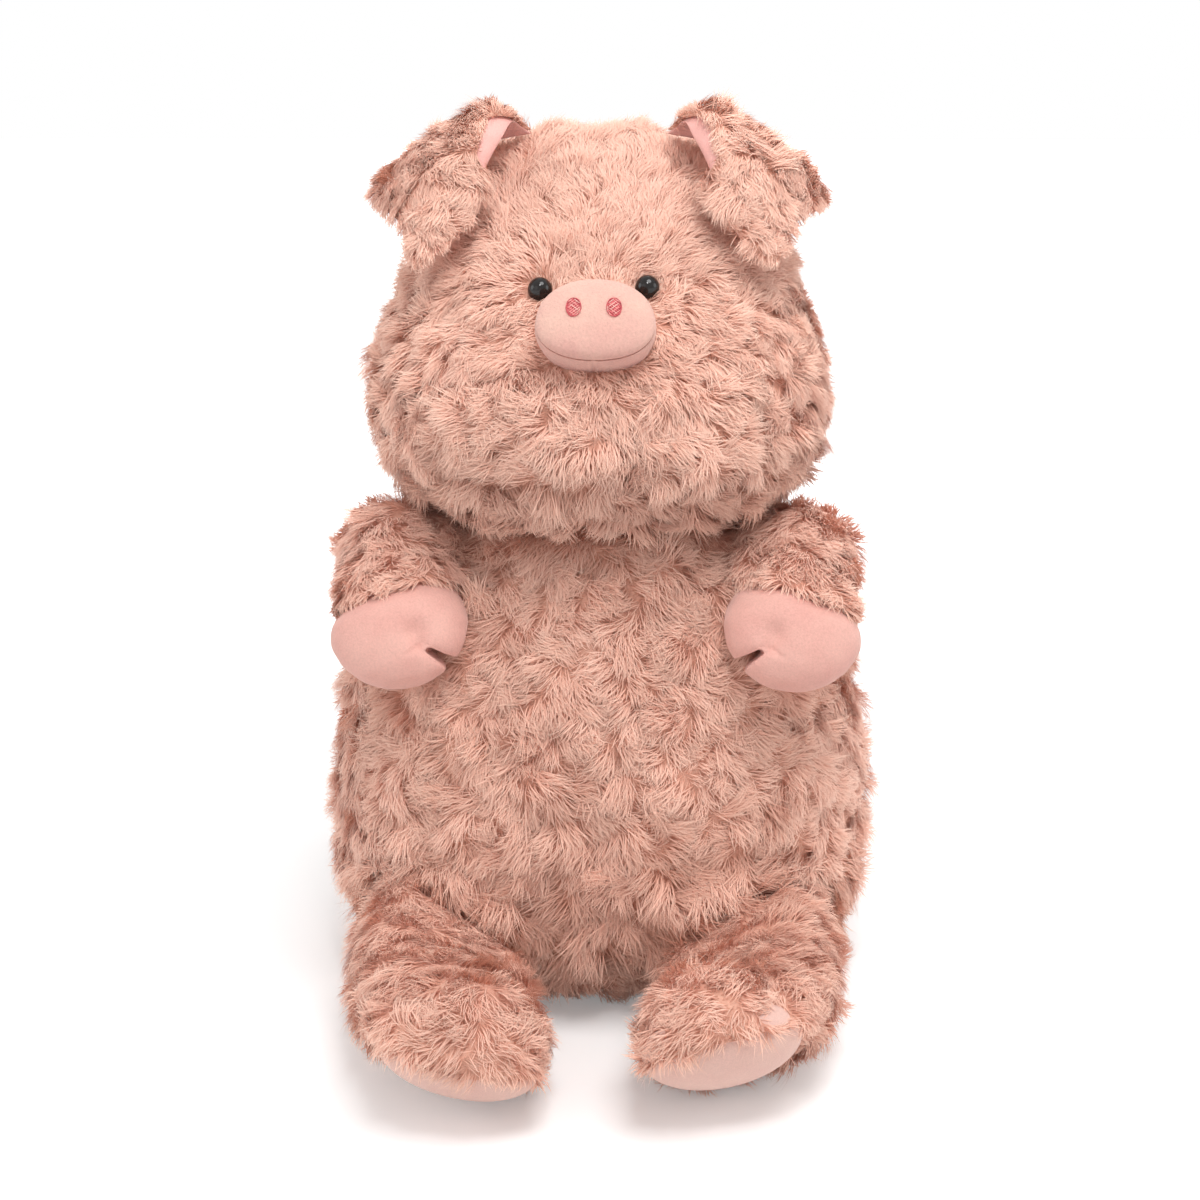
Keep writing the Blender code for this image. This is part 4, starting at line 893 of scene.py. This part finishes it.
def makeArm(side, sign):
    cuff, cuffPlane, cuffFacing, lean, shoulder = (
        np.array(armPlaces[part]) * (sign, 1, 1)
        for part in ("cuff", "cuffPlane", "cuffFacing", "lean", "shoulder"))
    across = unit(np.array((sign, 0, 0)) - lean * (lean * (sign, 0, 0)).sum())

    skin = softForm(f"sleeveSkin_{side}", [f"sleeve_{side}", f"arm_filling_{side}"],
                    armLook["voxel"], 3)
    p, n = spots(skin.data), pointing(skin.data)
    free = apart(p, ["body_cover"], 0.013)
    depth = (armLook["pileDepth"] - bumps(p, 6.0, armLook["bump"])) * free
    depth -= armLook["socketFill"] * (1 - free)
    move(skin.data, p - n * depth[:, None])
    stuff(skin, (p - cuffPlane) @ cuffFacing > -0.004, 60.0)
    sliced(skin, cuffPlane - cuffFacing * 0.0075, cuffFacing)
    p, n = spots(skin.data), pointing(skin.data)
    flow = np.tile(unit(cuff - shoulder) * 0.5 + cuffFacing * 0.8 + (sign * 0.3, -0.2, -0.2), (len(p), 1))
    flow = spun(along(flow, n), n, nap(p, 6.0 + sign, 0.4, 0.7))
    depth = (p - cuffPlane) @ cuffFacing
    atCuff = np.clip(1 + (depth + 0.0065) / 0.014, 0, 1)
    thick = np.where((depth > -0.0085) & (n @ cuffFacing > 0.7), 0.0, 1.0)
    thick *= 1 - 0.9 * covered(p, n, ["body_cover", "head_cover"], 0.009)
    thick *= 1 + 0.3 * atCuff
    behind = np.clip((n[:, 1] - 0.05) / 0.4, 0, 1)
    # painted light: the sleeve fur gets a lighter tone (0.9) to stand in for light on the sleeves
    dressSkin(skin, along(flow, n), thick, 1 - 0.15 * atCuff - 0.15 * behind, 0.9)
    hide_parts(f"sleeve_{side}", f"arm_filling_{side}")
    growPile(skin, f"arm_{side}", armLook, **{"Skin Light": 0.65})
    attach(skin, f"arm_{side}")

    shift = np.array(armLook["hoofShift"]) * (sign, 1, 1)
    hoof = hoofForm(side, cuffPlane, cuffFacing)
    p = spots(hoof.data)
    past = np.clip(((p - cuffPlane) @ cuffFacing + 0.006) / 0.012, 0, 1)[:, None]
    move(hoof.data, p + pointing(hoof.data) * armLook["swell"] + past * shift)
    through = np.array((0.0, -0.766, 0.643))
    inner = cuff + shift - across * 0.0096 + lean * 0.0411 + through * 0.018
    outward = unit(np.array((-sign * 12.8, 0, 0)) - 7.8 * viewUp)
    upward = np.cross(viewFacing, outward) * -sign
    stuff(hoof, (spots(hoof.data) - cuffPlane) @ cuffFacing < 0.003, 60.0)
    cleave(hoof, inner, outward, upward)
    evened(hoof, armLook["cleftVoxel"], 7)
    hoof.data.materials.clear()
    hoof.data.materials.append(hoofFabric)
    sliced(hoof, cuffPlane - cuffFacing * 0.014, -cuffFacing)
    mesh = hoof.data
    p, n = spots(mesh), pointing(mesh)
    flat = p - inner
    a, b = flat @ outward, flat @ upward
    front = np.clip((n @ viewFacing + 0.1) / 0.5, 0, 1)
    dimple = np.exp(-((a + 0.0055) ** 2 + (b - 0.0045) ** 2) / 0.0062 ** 2) * armLook["dimpleDepth"]
    dimple += np.exp(-((a + 0.001) ** 2 + b ** 2) / 0.0035 ** 2) * 0.5 * armLook["dimpleDepth"]
    dimple += np.exp(-(b / 0.0040) ** 2) * np.clip(a / 0.006, 0, 1) * 0.5 * armLook["dimpleDepth"]
    run, off = -0.51 * a - 0.86 * b, 0.86 * a - 0.51 * b
    wrinkle = np.exp(-(off / 0.0012) ** 2) * np.clip((run + 0.001) / 0.002, 0, 1)
    wrinkle *= np.clip((0.0105 - run) / 0.006, 0, 1) * armLook["wrinkleDepth"]
    move(mesh, p - n * ((dimple + wrinkle) * front)[:, None])
    rounded(hoof)
    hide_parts(f"hoof_{side}")
    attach(hoof, f"arm_{side}")


for side, sign in sides.items():
    makeArm(side, sign)
print("arms and hooves are made")


# Ears

earLook = {"span": 0.090, "drop": 0.050, "reach": 0.054, "skinDepth": 0.0028,
           "liningDepth": 0.0020, "seam": 0.0002, "edge": 0.10, "edgeShare": 0.25, "hairs": 12500, "hairLength": 0.0105, "lockSpacing": 0.0050,
           "swirl": 0.28, "gather": 0.38, "columns": 29, "rows": 41}
earColumns = (((-.35, -.23), (-.33, -.04), (-.01, -.28)), ((-.17, -.06), (-.24, .19), (.18, -.48)),
              ((0, 0), (0, .26), (.47, -.47)), ((.17, -.06), (.25, .32), (.45, -.08)),
              ((.35, -.23), (.50, .26), (.53, .18)))
earFoldReach, earTipReach = (.39, .44, .42, .28, .07), (.74, .98, 1.08, .74, .36)
earCut = ((0, .50, .56, .62, .80, .86, .93, 1), (-1, -1, -.80, -.56, -.52, -.66, -1, -1))


def smoothLine(points, count):
    points = [2 * points[0] - points[1], *points, 2 * points[-1] - points[-2]]
    line = []
    for step in range(count):
        reach = step / (count - 1) * (len(points) - 3)
        index = min(int(reach), len(points) - 4)
        t = reach - index
        a, b, c, d = points[index:index + 4]
        line.append(0.5 * (2 * b + (c - a) * t + (2 * a - 5 * b + 4 * c - d) * t * t
                           + (3 * b - a - 3 * c + d) * t ** 3))
    return line


def earSheet(sign):
    place = np.array((sign * 0.06469, -0.01495, 0.4226))
    hinge, out = np.array((sign * 0.76604, 0, -0.64279)), np.array((sign * 0.64279, 0, 0.76604))
    ahead = np.array((0.0, -1.0, 0.0))

    def at(spot, reach):
        return (place + hinge * spot[0] * earLook["span"] + out * spot[1] * earLook["drop"]
                + ahead * reach * earLook["reach"])

    lines = []
    for (root, fold, tip), foldReach, tipReach in zip(earColumns, earFoldReach, earTipReach):
        root, fold, tip = map(np.array, (root, fold, tip))
        lines.append(smoothLine([
            at(root, 0), at((root + fold) / 2, foldReach / 4), at(fold, foldReach),
            at(fold + (tip - fold) * 0.30, foldReach + (tipReach - foldReach) * 0.55),
            at(tip, tipReach)], earLook["rows"]))
    sheet = np.array([smoothLine(list(row), earLook["columns"]) for row in zip(*lines)])
    down, over = np.gradient(sheet, axis=0), np.gradient(sheet, axis=1)
    return sheet, unit(sign * np.cross(down, over)), unit(down), unit(over)


def sheetSolid(name, sheet, normals, near, far):
    rows, columns = sheet.shape[:2]
    edgeRow = np.minimum(np.arange(rows), rows - 1 - np.arange(rows)) / (rows - 1)
    edgeColumn = np.minimum(np.arange(columns), columns - 1 - np.arange(columns)) / (columns - 1)
    inside = np.outer(np.minimum(1, edgeRow / earLook["edge"]), np.ones(columns))
    within = np.outer(np.ones(rows), np.minimum(1, edgeColumn / earLook["edge"]))
    full = np.sqrt(np.sin(math.pi / 2 * inside) * np.sin(math.pi / 2 * within))[..., None]
    full = earLook["edgeShare"] + (1 - earLook["edgeShare"]) * full
    middle = (near + far) / 2
    first = sheet + normals * (middle + (near - middle) * full)
    second = sheet + normals * (middle + (far - middle) * full)
    points = np.concatenate([first.reshape(-1, 3), second.reshape(-1, 3)])
    count = rows * columns
    faces = []
    for r in range(rows - 1):
        for c in range(columns - 1):
            quad = [r * columns + c, r * columns + c + 1, (r + 1) * columns + c + 1, (r + 1) * columns + c]
            faces += [tuple(quad), tuple(count + i for i in reversed(quad))]
    edge = ([c for c in range(columns)] + [r * columns + columns - 1 for r in range(1, rows)]
            + [(rows - 1) * columns + c for c in range(columns - 2, -1, -1)]
            + [r * columns for r in range(rows - 2, 0, -1)])
    for a, b in zip(edge, edge[1:] + edge[:1]):
        faces.append((b, a, count + a, count + b))
    mesh = bpy.data.meshes.new(name)
    mesh.from_pydata(points.tolist(), [], faces)
    return faceOut(mesh)


def makeEar(side, sign):
    sheet, normals, down, over = earSheet(sign)
    lining = sheet.copy(), normals.copy()
    rows, columns = sheet.shape[:2]
    steps = np.linspace(-1, 1, columns)
    for row in range(rows):  # the plush is cut back where the lining shows
        cut = np.linspace(np.interp(row / (rows - 1), *earCut), 1, columns)
        for grid in (sheet, normals, down, over):
            grid[row] = np.stack([np.interp(cut, steps, grid[row][:, axis]) for axis in range(3)], 1)
    skin = pieceOf(f"earSkin_{side}", sheetSolid(f"earSkin_{side}", sheet, normals,
                                                 earLook["seam"], earLook["skinDepth"]), backing)
    r, c = np.meshgrid(np.linspace(0, 1, rows), np.linspace(-1, 1, columns), indexing="ij")
    spread = np.clip((np.abs(c) - 0.6) / 0.4, 0, 1) * np.sign(c) * 0.6
    atMouth = np.clip((-c - 0.60) / 0.3, 0, 1) * np.clip((0.92 - r) / 0.08, 0, 1)
    atMouth *= np.clip((r - 0.38) / 0.08, 0, 1)
    onTop = np.clip((0.52 - r) / 0.16, 0, 1)
    spread = (spread * (1 - atMouth) + 0.5 * atMouth) * (1 - onTop) + 1.0 * onTop
    crest = np.exp(-((r - 0.50) / 0.07) ** 2)
    flow = (down * (1 - 0.75 * onTop - 1.2 * crest)[..., None]
            + over * (spread * (1 - crest) + 0.8 * crest)[..., None]).reshape(-1, 3)
    flow = np.concatenate([flow, flow])
    p, n = spots(skin.data), pointing(skin.data)
    rim = np.maximum(np.abs(c), np.abs(2 * r - 1)).ravel()
    thick = np.concatenate([np.zeros(rows * columns), np.ones(rows * columns)])
    thick[:rows * columns] = np.where((rim > 0.985) & (atMouth.ravel() < 0.2), 0.4, 0)
    flow = spun(along(flow, n), n, nap(p, 8.0 + sign, 0.4, 0.7))
    mouth = np.concatenate([atMouth.ravel(), atMouth.ravel()])
    tips = np.tile(np.clip((r.ravel() - 0.85) / 0.15, 0, 1), 2)
    topSide = np.tile(onTop.ravel() * (1 - crest.ravel()), 2)
    dressSkin(skin, flow, thick, 1 - 0.40 * mouth - 0.25 * tips - 0.40 * topSide)
    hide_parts(f"ear_outer_{side}")
    growPile(skin, f"ear_{side}", earLook, **{"Skin Light": 0.6})
    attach(skin, f"ear_{side}")

    crease = np.exp(-((c - 0.15 - 0.3 * r) / 0.07) ** 2) * np.clip(1 - np.abs(r - 0.3) / 0.3, 0, 1)
    sheet, normals = lining
    inner = sheet + normals * (0.0012 * crease)[..., None]
    lining = sheetSolid(f"earLining_{side}", inner, normals,
                        -earLook["seam"] - earLook["liningDepth"], -earLook["seam"])
    lining = pieceOf(f"earLining_{side}", lining, liningFabric)
    rounded(lining)
    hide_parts(f"ear_lining_{side}")
    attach(lining, f"ear_{side}")


for side, sign in sides.items():
    makeEar(side, sign)
print("ears are made")


# Snout with its nostrils

snoutLook = {"width": 0.0545, "height": 0.0392, "depth": 0.0130, "taper": 0.07, "roundness": 2.2,
             "wall": 0.002, "nostrilSpacing": 0.018, "nostrilRise": 0.0036,
             "nostrilWidth": 0.0071, "nostrilHeight": 0.0094, "stitchSlant": 38}
threadLayers = ((1, 0.0001, 0.20, 0.00036, 1.0),  # slant, height, tone, spacing, share of the chord
                (-1, 0.00040, 0.75, 0.00105, 0.74), (1, 0.00062, 0.85, 0.00150, 0.62))


def snoutRing(turns, out, share, inset=0.0):
    u, v = oval(turns, snoutLook["roundness"])
    halfWidth = snoutLook["width"] / 2 * share - inset
    halfHeight = snoutLook["height"] / 2 * share - inset
    points = snoutPlace + snoutFacing * out + np.outer(v * halfHeight, snoutUp)
    points[:, 0] += halfWidth * u * (1 - snoutLook["taper"] * v) + 0.0006
    return points


def makeSnout():
    depth = snoutLook["depth"]
    extra = np.radians([-90 - 2.6, -90 - 1.1, -90 + 1.1, -90 + 2.6])
    turns = np.sort(np.concatenate([np.linspace(-math.pi, math.pi, 73)[:-1], extra]))
    levels = ((-0.006, 0.93), (-0.002, 0.95), (0.002, 0.975), (depth * 0.45, 1.0),
              (depth * 0.75, 1.0), (depth - 0.0018, 0.993), (depth - 0.0008, 0.980),
              (depth - 0.0006, 0.962), (depth - 0.0012, 0.944))
    rows = [snoutRing(turns, out, share) for out, share in levels]
    rows += [snoutRing(turns, out, share, snoutLook["wall"]) for out, share in levels[::-1]]
    mesh = faceOut(gridMesh("snoutBand", rows + rows[:1]), 1e-6)
    p = spots(mesh)
    low = ((p - snoutPlace) @ snoutUp) < 0
    groove = np.exp(-(p[:, 0] / 0.0006) ** 2) * low * 0.0006
    move(mesh, p + np.outer(groove, snoutUp))
    band = rounded(pieceOf("snoutBand", mesh, snoutFabric))
    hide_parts("snout_band")
    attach(band, "head")

    shape = ((-0.0020, 0.90), (-0.0009, 0.925), (-0.0003, 0.952), (0.0006, 0.974), (0.0017, 0.980),
             (0.0028, 0.968), (0.0040, 0.935), (0.0050, 0.875), (0.0058, 0.79), (0.0064, 0.68),
             (0.0068, 0.55), (0.0071, 0.40), (0.0073, 0.20))
    rows = [snoutRing(turns, depth + out, share) for out, share in shape]
    mesh = gridMesh("snoutPad", rows, snoutPlace + snoutFacing * (depth - 0.0012),
                    snoutPlace + snoutFacing * (depth + 0.0074))
    p = spots(mesh)
    flat = p - snoutPlace
    x, y = flat[:, 0], flat @ snoutUp
    dip = np.zeros(len(p))
    for sign in (-1, 1):
        dip += np.exp(-((x - sign * snoutLook["nostrilSpacing"] / 2) / 0.0042) ** 2
                      - ((y - snoutLook["nostrilRise"]) / 0.0058) ** 2) * 0.0008
    move(mesh, p - np.outer(dip * (flat @ snoutFacing > depth), snoutFacing))
    pad = rounded(pieceOf("snoutPad", mesh, snoutFabric))
    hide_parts("snout_face", "snout_filling")
    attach(pad, "head")
    return pad


snoutPad = makeSnout()


def makeThreadShape():
    bm = bmesh.new()
    rings = [[bm.verts.new((x, 0.5 * r * math.cos(a), 0.5 * r * math.sin(a)))
              for a in np.linspace(0, 2 * math.pi, 7)[:-1]]
             for x, r in ((-0.5, 0.35), (-0.36, 0.9), (0, 1.0), (0.36, 0.9), (0.5, 0.35))]
    for a, b in zip(rings, rings[1:]):
        for i in range(6):
            bm.faces.new((a[i], a[(i + 1) % 6], b[(i + 1) % 6], b[i]))
    bm.faces.new(rings[0][::-1])
    bm.faces.new(rings[-1])
    bmesh.ops.recalc_face_normals(bm, faces=bm.faces)
    mesh = bpy.data.meshes.new("threadShape")
    bm.to_mesh(mesh)
    bm.free()
    return pieceOf("threadShape", mesh)


def makeStitchTree():
    tree = bpy.data.node_groups.new("satinStitches", "GeometryNodeTree")
    face = tree.interface
    face.new_socket("Geometry", in_out="INPUT", socket_type="NodeSocketGeometry")
    for label, kind, value in (("Thread", "Object", None), ("Material", "Material", None),
                               ("Thickness", "Float", 0.0004), ("Seed", "Int", 3)):
        socket = face.new_socket(label, in_out="INPUT", socket_type="NodeSocket" + kind)
        if value is not None:
            socket.default_value = value
    face.new_socket("Geometry", in_out="OUTPUT", socket_type="NodeSocketGeometry")
    given, end = tree.nodes.new("NodeGroupInput").outputs, tree.nodes.new("NodeGroupOutput")

    def named(label, kind="FLOAT"):
        return nodeIn(tree, "GeometryNodeInputNamedAttribute", {"data_type": kind}, Name=label).outputs[0]

    stand = nodeIn(tree, "FunctionNodeAlignRotationToVector", {"axis": "X"},
                   Vector=named("heading", "FLOAT_VECTOR")).outputs[0]
    aim = nodeIn(tree, "FunctionNodeAlignRotationToVector", {"axis": "Z", "pivot_axis": "X"},
                 Rotation=stand, Vector=named("outward", "FLOAT_VECTOR")).outputs[0]
    vary = nodeIn(tree, "FunctionNodeRandomValue", {"data_type": "FLOAT"}, i2=0.85, i3=1.15,
                  Seed=given["Seed"]).outputs[1]
    thick = nodeIn(tree, "ShaderNodeMath", {"operation": "MULTIPLY"}, i0=given["Thickness"],
                   i1=vary).outputs[0]
    scale = nodeIn(tree, "ShaderNodeCombineXYZ", X=named("chord"), Y=thick, Z=thick).outputs[0]
    shape = nodeIn(tree, "GeometryNodeObjectInfo", Object=given["Thread"]).outputs["Geometry"]
    points = nodeIn(tree, "GeometryNodeMeshToPoints", Mesh=given["Geometry"]).outputs[0]
    sewn = nodeIn(tree, "GeometryNodeInstanceOnPoints", Points=points, Instance=shape, Rotation=aim,
                  Scale=scale).outputs[0]
    sewn = nodeIn(tree, "GeometryNodeRealizeInstances", Geometry=sewn).outputs[0]
    done = nodeIn(tree, "GeometryNodeSetMaterial", Geometry=sewn, Material=given["Material"]).outputs[0]
    link(tree, done, end.inputs[0])
    return tree


threadShape, stitchTree = makeThreadShape(), makeStitchTree()


def makeNostril(side, sign):
    graph = bpy.context.evaluated_depsgraph_get()
    pad = BVHTree.FromObject(snoutPad, graph)
    middle = (snoutPlace + snoutUp * snoutLook["nostrilRise"]
              + np.array((sign * snoutLook["nostrilSpacing"] / 2, 0, 0)))
    slant = math.radians(snoutLook["stitchSlant"]) * sign
    lineAxis = np.array((math.cos(slant), math.sin(slant)))
    halfWidth, halfHeight = snoutLook["nostrilWidth"] / 2, snoutLook["nostrilHeight"] / 2
    points, headings, outwards, chords, tones = [], [], [], [], []

    def sew(x, y, hx, hy, chord, tone, lift):
        over = middle + np.array((x, 0, 0)) + snoutUp * y + snoutFacing * 0.04
        spot, normal, _, _ = pad.ray_cast(Vector(over), Vector(-snoutFacing))
        if spot is None:
            return
        points.append(np.array(spot) + snoutFacing * lift)
        headings.append(unit(np.array((hx, 0, 0)) + snoutUp * hy))
        outwards.append(np.array(normal))
        chords.append(chord)
        tones.append(tone)

    reach = math.hypot(halfWidth, halfHeight)
    chance = np.random.default_rng(5 + sign)
    for turnSign, lift, base, pitch, share in threadLayers:
        a = np.array((lineAxis[0], turnSign * lineAxis[1]))
        b = np.array((-a[1], a[0]))
        for step in np.arange(-reach, reach, pitch):
            # where the slanted line meets the oval
            qa = (a[0] / halfWidth) ** 2 + (a[1] / halfHeight) ** 2
            qb = 2 * step * (a[0] * b[0] / halfWidth ** 2 + a[1] * b[1] / halfHeight ** 2)
            qc = step ** 2 * ((b[0] / halfWidth) ** 2 + (b[1] / halfHeight) ** 2) - 1
            gap = qb * qb - 4 * qa * qc
            if gap <= 0:
                continue
            ends = [(-qb - math.sqrt(gap)) / (2 * qa), (-qb + math.sqrt(gap)) / (2 * qa)]
            mid, chord = sum(ends) / 2, (ends[1] - ends[0]) * share
            if chord > 0.0006:
                wave = chance.uniform(-0.25, 0.25)
                shift = a * chance.uniform(-0.0005, 0.0005) * (share < 1)
                sew(*(a * mid + b * step + shift), a[0], a[1], chord, base + wave, lift)
    for turn in np.linspace(0, 2 * math.pi, 27)[:-1]:
        x, y = halfWidth * 0.93 * math.cos(turn), halfHeight * 0.93 * math.sin(turn)
        hx, hy = -halfWidth * math.sin(turn), halfHeight * math.cos(turn)
        sew(x, y, hx, hy, 0.0013, 0.08 + 0.30 * chance.random() ** 2, 0.00060)
    mesh = bpy.data.meshes.new(f"nostril_{side}_stitches")
    mesh.from_pydata([tuple(p) for p in points], [], [])
    mark(mesh, "heading", np.array(headings))
    mark(mesh, "outward", np.array(outwards))
    mark(mesh, "chord", np.array(chords))
    mark(mesh, "tone", np.array(tones))
    piece = pieceOf(f"nostrilStitches_{side}", mesh)
    sewing = piece.modifiers.new("Stitches", "NODES")
    sewing.node_group = stitchTree
    ids = socketsOf(stitchTree)
    for label, value in (("Thread", threadShape), ("Material", threadMaterial), ("Thickness", 0.00046)):
        sewing[ids[label]] = value
    settle(piece)
    piece.data.polygons.foreach_set("use_smooth", [True] * len(piece.data.polygons))
    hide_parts(f"nostril_{side}")
    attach(piece, "head")


for side, sign in sides.items():
    makeNostril(side, sign)
bpy.data.objects.remove(threadShape)
print("snout is made")


# Eyes

eyeLook = {"diameter": 0.0116, "dome": 0.0062, "lip": 0.0006, "sink": 0.0030, "stem": 0.0016,
           "stemLength": 0.008}


def makeEye(side, sign):
    place, facing = eyePlaces[side]
    across = unit(np.cross(facing, (0, 0, 1.0)))
    upward = np.cross(across, facing)
    radius, base, lip = eyeLook["diameter"] / 2, -eyeLook["sink"], eyeLook["lip"]
    stem, stemEnd = eyeLook["stem"], base - eyeLook["stemLength"]
    profile = [(0.35 * stem, stemEnd), (stem, stemEnd + lip), (stem, base - lip),
               (radius * 0.86, base - 0.0004), (radius * 0.985, base), (radius, base + lip)]
    for step in range(1, 9):
        turn = step / 9 * math.pi / 2
        profile.append((radius * math.cos(turn) ** 0.92, base + lip + eyeLook["dome"] * math.sin(turn)))
    turns = np.linspace(0, 2 * math.pi, 49)[:-1]
    rows = [place + facing * rise + np.outer(np.cos(turns) * r, across) + np.outer(np.sin(turns) * r, upward)
            + eyeShift[side] * (rise >= base - 0.0005) for r, rise in profile]
    mesh = gridMesh(f"eyeDome_{side}", rows, place + facing * profile[0][1],
                    place + eyeShift[side] + facing * (base + lip + eyeLook["dome"]))
    eye = rounded(pieceOf(f"eyeDome_{side}", mesh, eyeMaterial))
    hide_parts(f"eye_{side}")
    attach(eye, "head")
    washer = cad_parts[f"eye_washer_{side}"]
    for slotOf in washer.material_slots:
        slotOf.material = washerMaterial


for side, sign in sides.items():
    makeEye(side, sign)
print("eyes are made")


# Tail

tailLook = {"voxel": 0.0016, "pileDepth": 0.0014, "hairs": 3000, "hairLength": 0.0055,
            "lockSpacing": 0.005, "swirl": 0.3, "gather": 0.5}


def makeTail():
    skin = softForm("tailSkin", ["tail"], tailLook["voxel"], 3)
    move(skin.data, spots(skin.data) - pointing(skin.data) * tailLook["pileDepth"])
    p, n = spots(skin.data), pointing(skin.data)
    flow = along(np.tile((0.0, 1.0, -0.3), (len(p), 1)), n)
    dressSkin(skin, flow, np.where(p[:, 1] < 0.103, 0.2, 1.0))
    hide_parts("tail")
    growPile(skin, "tail", tailLook)
    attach(skin, "tail")


makeTail()
bpy.data.objects.remove(hair)
print("tail is made")


# Camera, floor and light

viewLook = {"distance": 1.0137, "height": 0.4657, "turn": 1.3, "pitch": 15.0, "lens": 60.0}
lightLook = {"key": 12.4, "fill": 1.6, "rim": 4.0, "sides": 4.2, "spark": 2.5, "world": 0.54,
             "floorGlow": 0.22}


def aimedAt(spot, target):
    return (Vector(target) - Vector(spot)).to_track_quat("-Z", "Y").to_euler()


def softLight(name, spot, target, size, power):
    lamp = bpy.data.lights.new(name, "AREA")
    lamp.shape, lamp.size, lamp.energy = "DISK", size, power
    light = bpy.data.objects.new(name, lamp)
    light.location, light.rotation_euler = spot, aimedAt(spot, target)
    scene.collection.objects.link(light)


def seenBy(tree, kinds):  # 1 for the rays that show the background white
    paths = tree.nodes.new("ShaderNodeLightPath").outputs
    seen = paths[kinds[0]]
    for kind in kinds[1:]:
        seen = nodeIn(tree, "ShaderNodeMath", {"operation": "MAXIMUM"}, i0=seen,
                      i1=paths[kind]).outputs[0]
    return seen


def makeStage():
    lens = bpy.data.cameras.new("camera")
    lens.lens, lens.sensor_width, lens.sensor_fit = viewLook["lens"], 36.0, "AUTO"
    camera = bpy.data.objects.new("camera", lens)
    turn = math.radians(viewLook["turn"])
    camera.location = (math.sin(turn) * viewLook["distance"], -math.cos(turn) * viewLook["distance"],
                       viewLook["height"])
    camera.rotation_euler = (math.radians(90 - viewLook["pitch"]), 0, turn)
    scene.collection.objects.link(camera)
    scene.camera = camera

    softLight("keyLight", (0.34, -0.60, 1.62), (0, -0.05, 0.2), 0.8, lightLook["key"])
    softLight("sparkLight", (0.02, -0.75, 1.15), (0, -0.05, 0.35), 0.18, lightLook["spark"])
    softLight("fillLight", (-0.9, -1.2, 0.8), (0, -0.05, 0.2), 1.0, lightLook["fill"])
    for name, way in (("leftLight", 1), ("rightLight", -1)):
        softLight(name, (way * 1.5, -0.35, 0.75), (0, -0.05, 0.2), 0.9, lightLook["sides"])
    softLight("rimLight", (0.2, 1.2, 1.3), (0, 0, 0.2), 1.0, lightLook["rim"])

    bm = bmesh.new()
    bmesh.ops.create_grid(bm, x_segments=1, y_segments=1, size=12)
    mesh = bpy.data.meshes.new("floor")
    bm.to_mesh(mesh)
    bm.free()
    material, tree, shader = newMaterial("paleFloor", 0.9)
    shader.inputs["Base Color"].default_value = (0.9, 0.9, 0.9, 1)
    spot = nodeIn(tree, "ShaderNodeTexCoord").outputs["Object"]
    off = nodeIn(tree, "ShaderNodeVectorMath", {"operation": "LENGTH"}, i0=spot).outputs["Value"]
    white = nodeIn(tree, "ShaderNodeMapRange", {"interpolation_type": "SMOOTHSTEP"}, Value=off,
                   From_Min=0.35, From_Max=1.1, To_Min=lightLook["floorGlow"], To_Max=1.0)
    glow = nodeIn(tree, "ShaderNodeEmission", Strength=white.outputs[0])
    total = tree.nodes.new("ShaderNodeAddShader")
    dark = nodeIn(tree, "ShaderNodeEmission", Strength=0.0)
    pick = tree.nodes.new("ShaderNodeMixShader")
    link(tree, seenBy(tree, ("Is Camera Ray", "Is Glossy Ray")), pick.inputs[0])
    link(tree, dark.outputs[0], pick.inputs[1])
    link(tree, glow.outputs[0], pick.inputs[2])
    link(tree, shader.outputs[0], total.inputs[0])
    link(tree, pick.outputs[0], total.inputs[1])
    link(tree, total.outputs[0], tree.nodes["Material Output"].inputs[0])
    floor = pieceOf("floor", mesh, material)

    world = bpy.data.worlds.new("studio")
    world.use_nodes = True
    scene.world = world
    tree = world.node_tree
    ambient = tree.nodes["Background"]
    ambient.inputs[0].default_value = (1, 1, 1, 1)
    ambient.inputs[1].default_value = lightLook["world"]
    white = nodeIn(tree, "ShaderNodeBackground", Strength=1.0)
    white.inputs[0].default_value = (1, 1, 1, 1)
    pick = tree.nodes.new("ShaderNodeMixShader")
    seen = seenBy(tree, ("Is Camera Ray", "Is Glossy Ray", "Is Transmission Ray"))
    link(tree, seen, pick.inputs[0])
    link(tree, ambient.outputs[0], pick.inputs[1])
    link(tree, white.outputs[0], pick.inputs[2])
    link(tree, pick.outputs[0], tree.nodes["World Output"].inputs[0])


makeStage()
scene.view_settings.view_transform = "Standard"
print("stage is made")
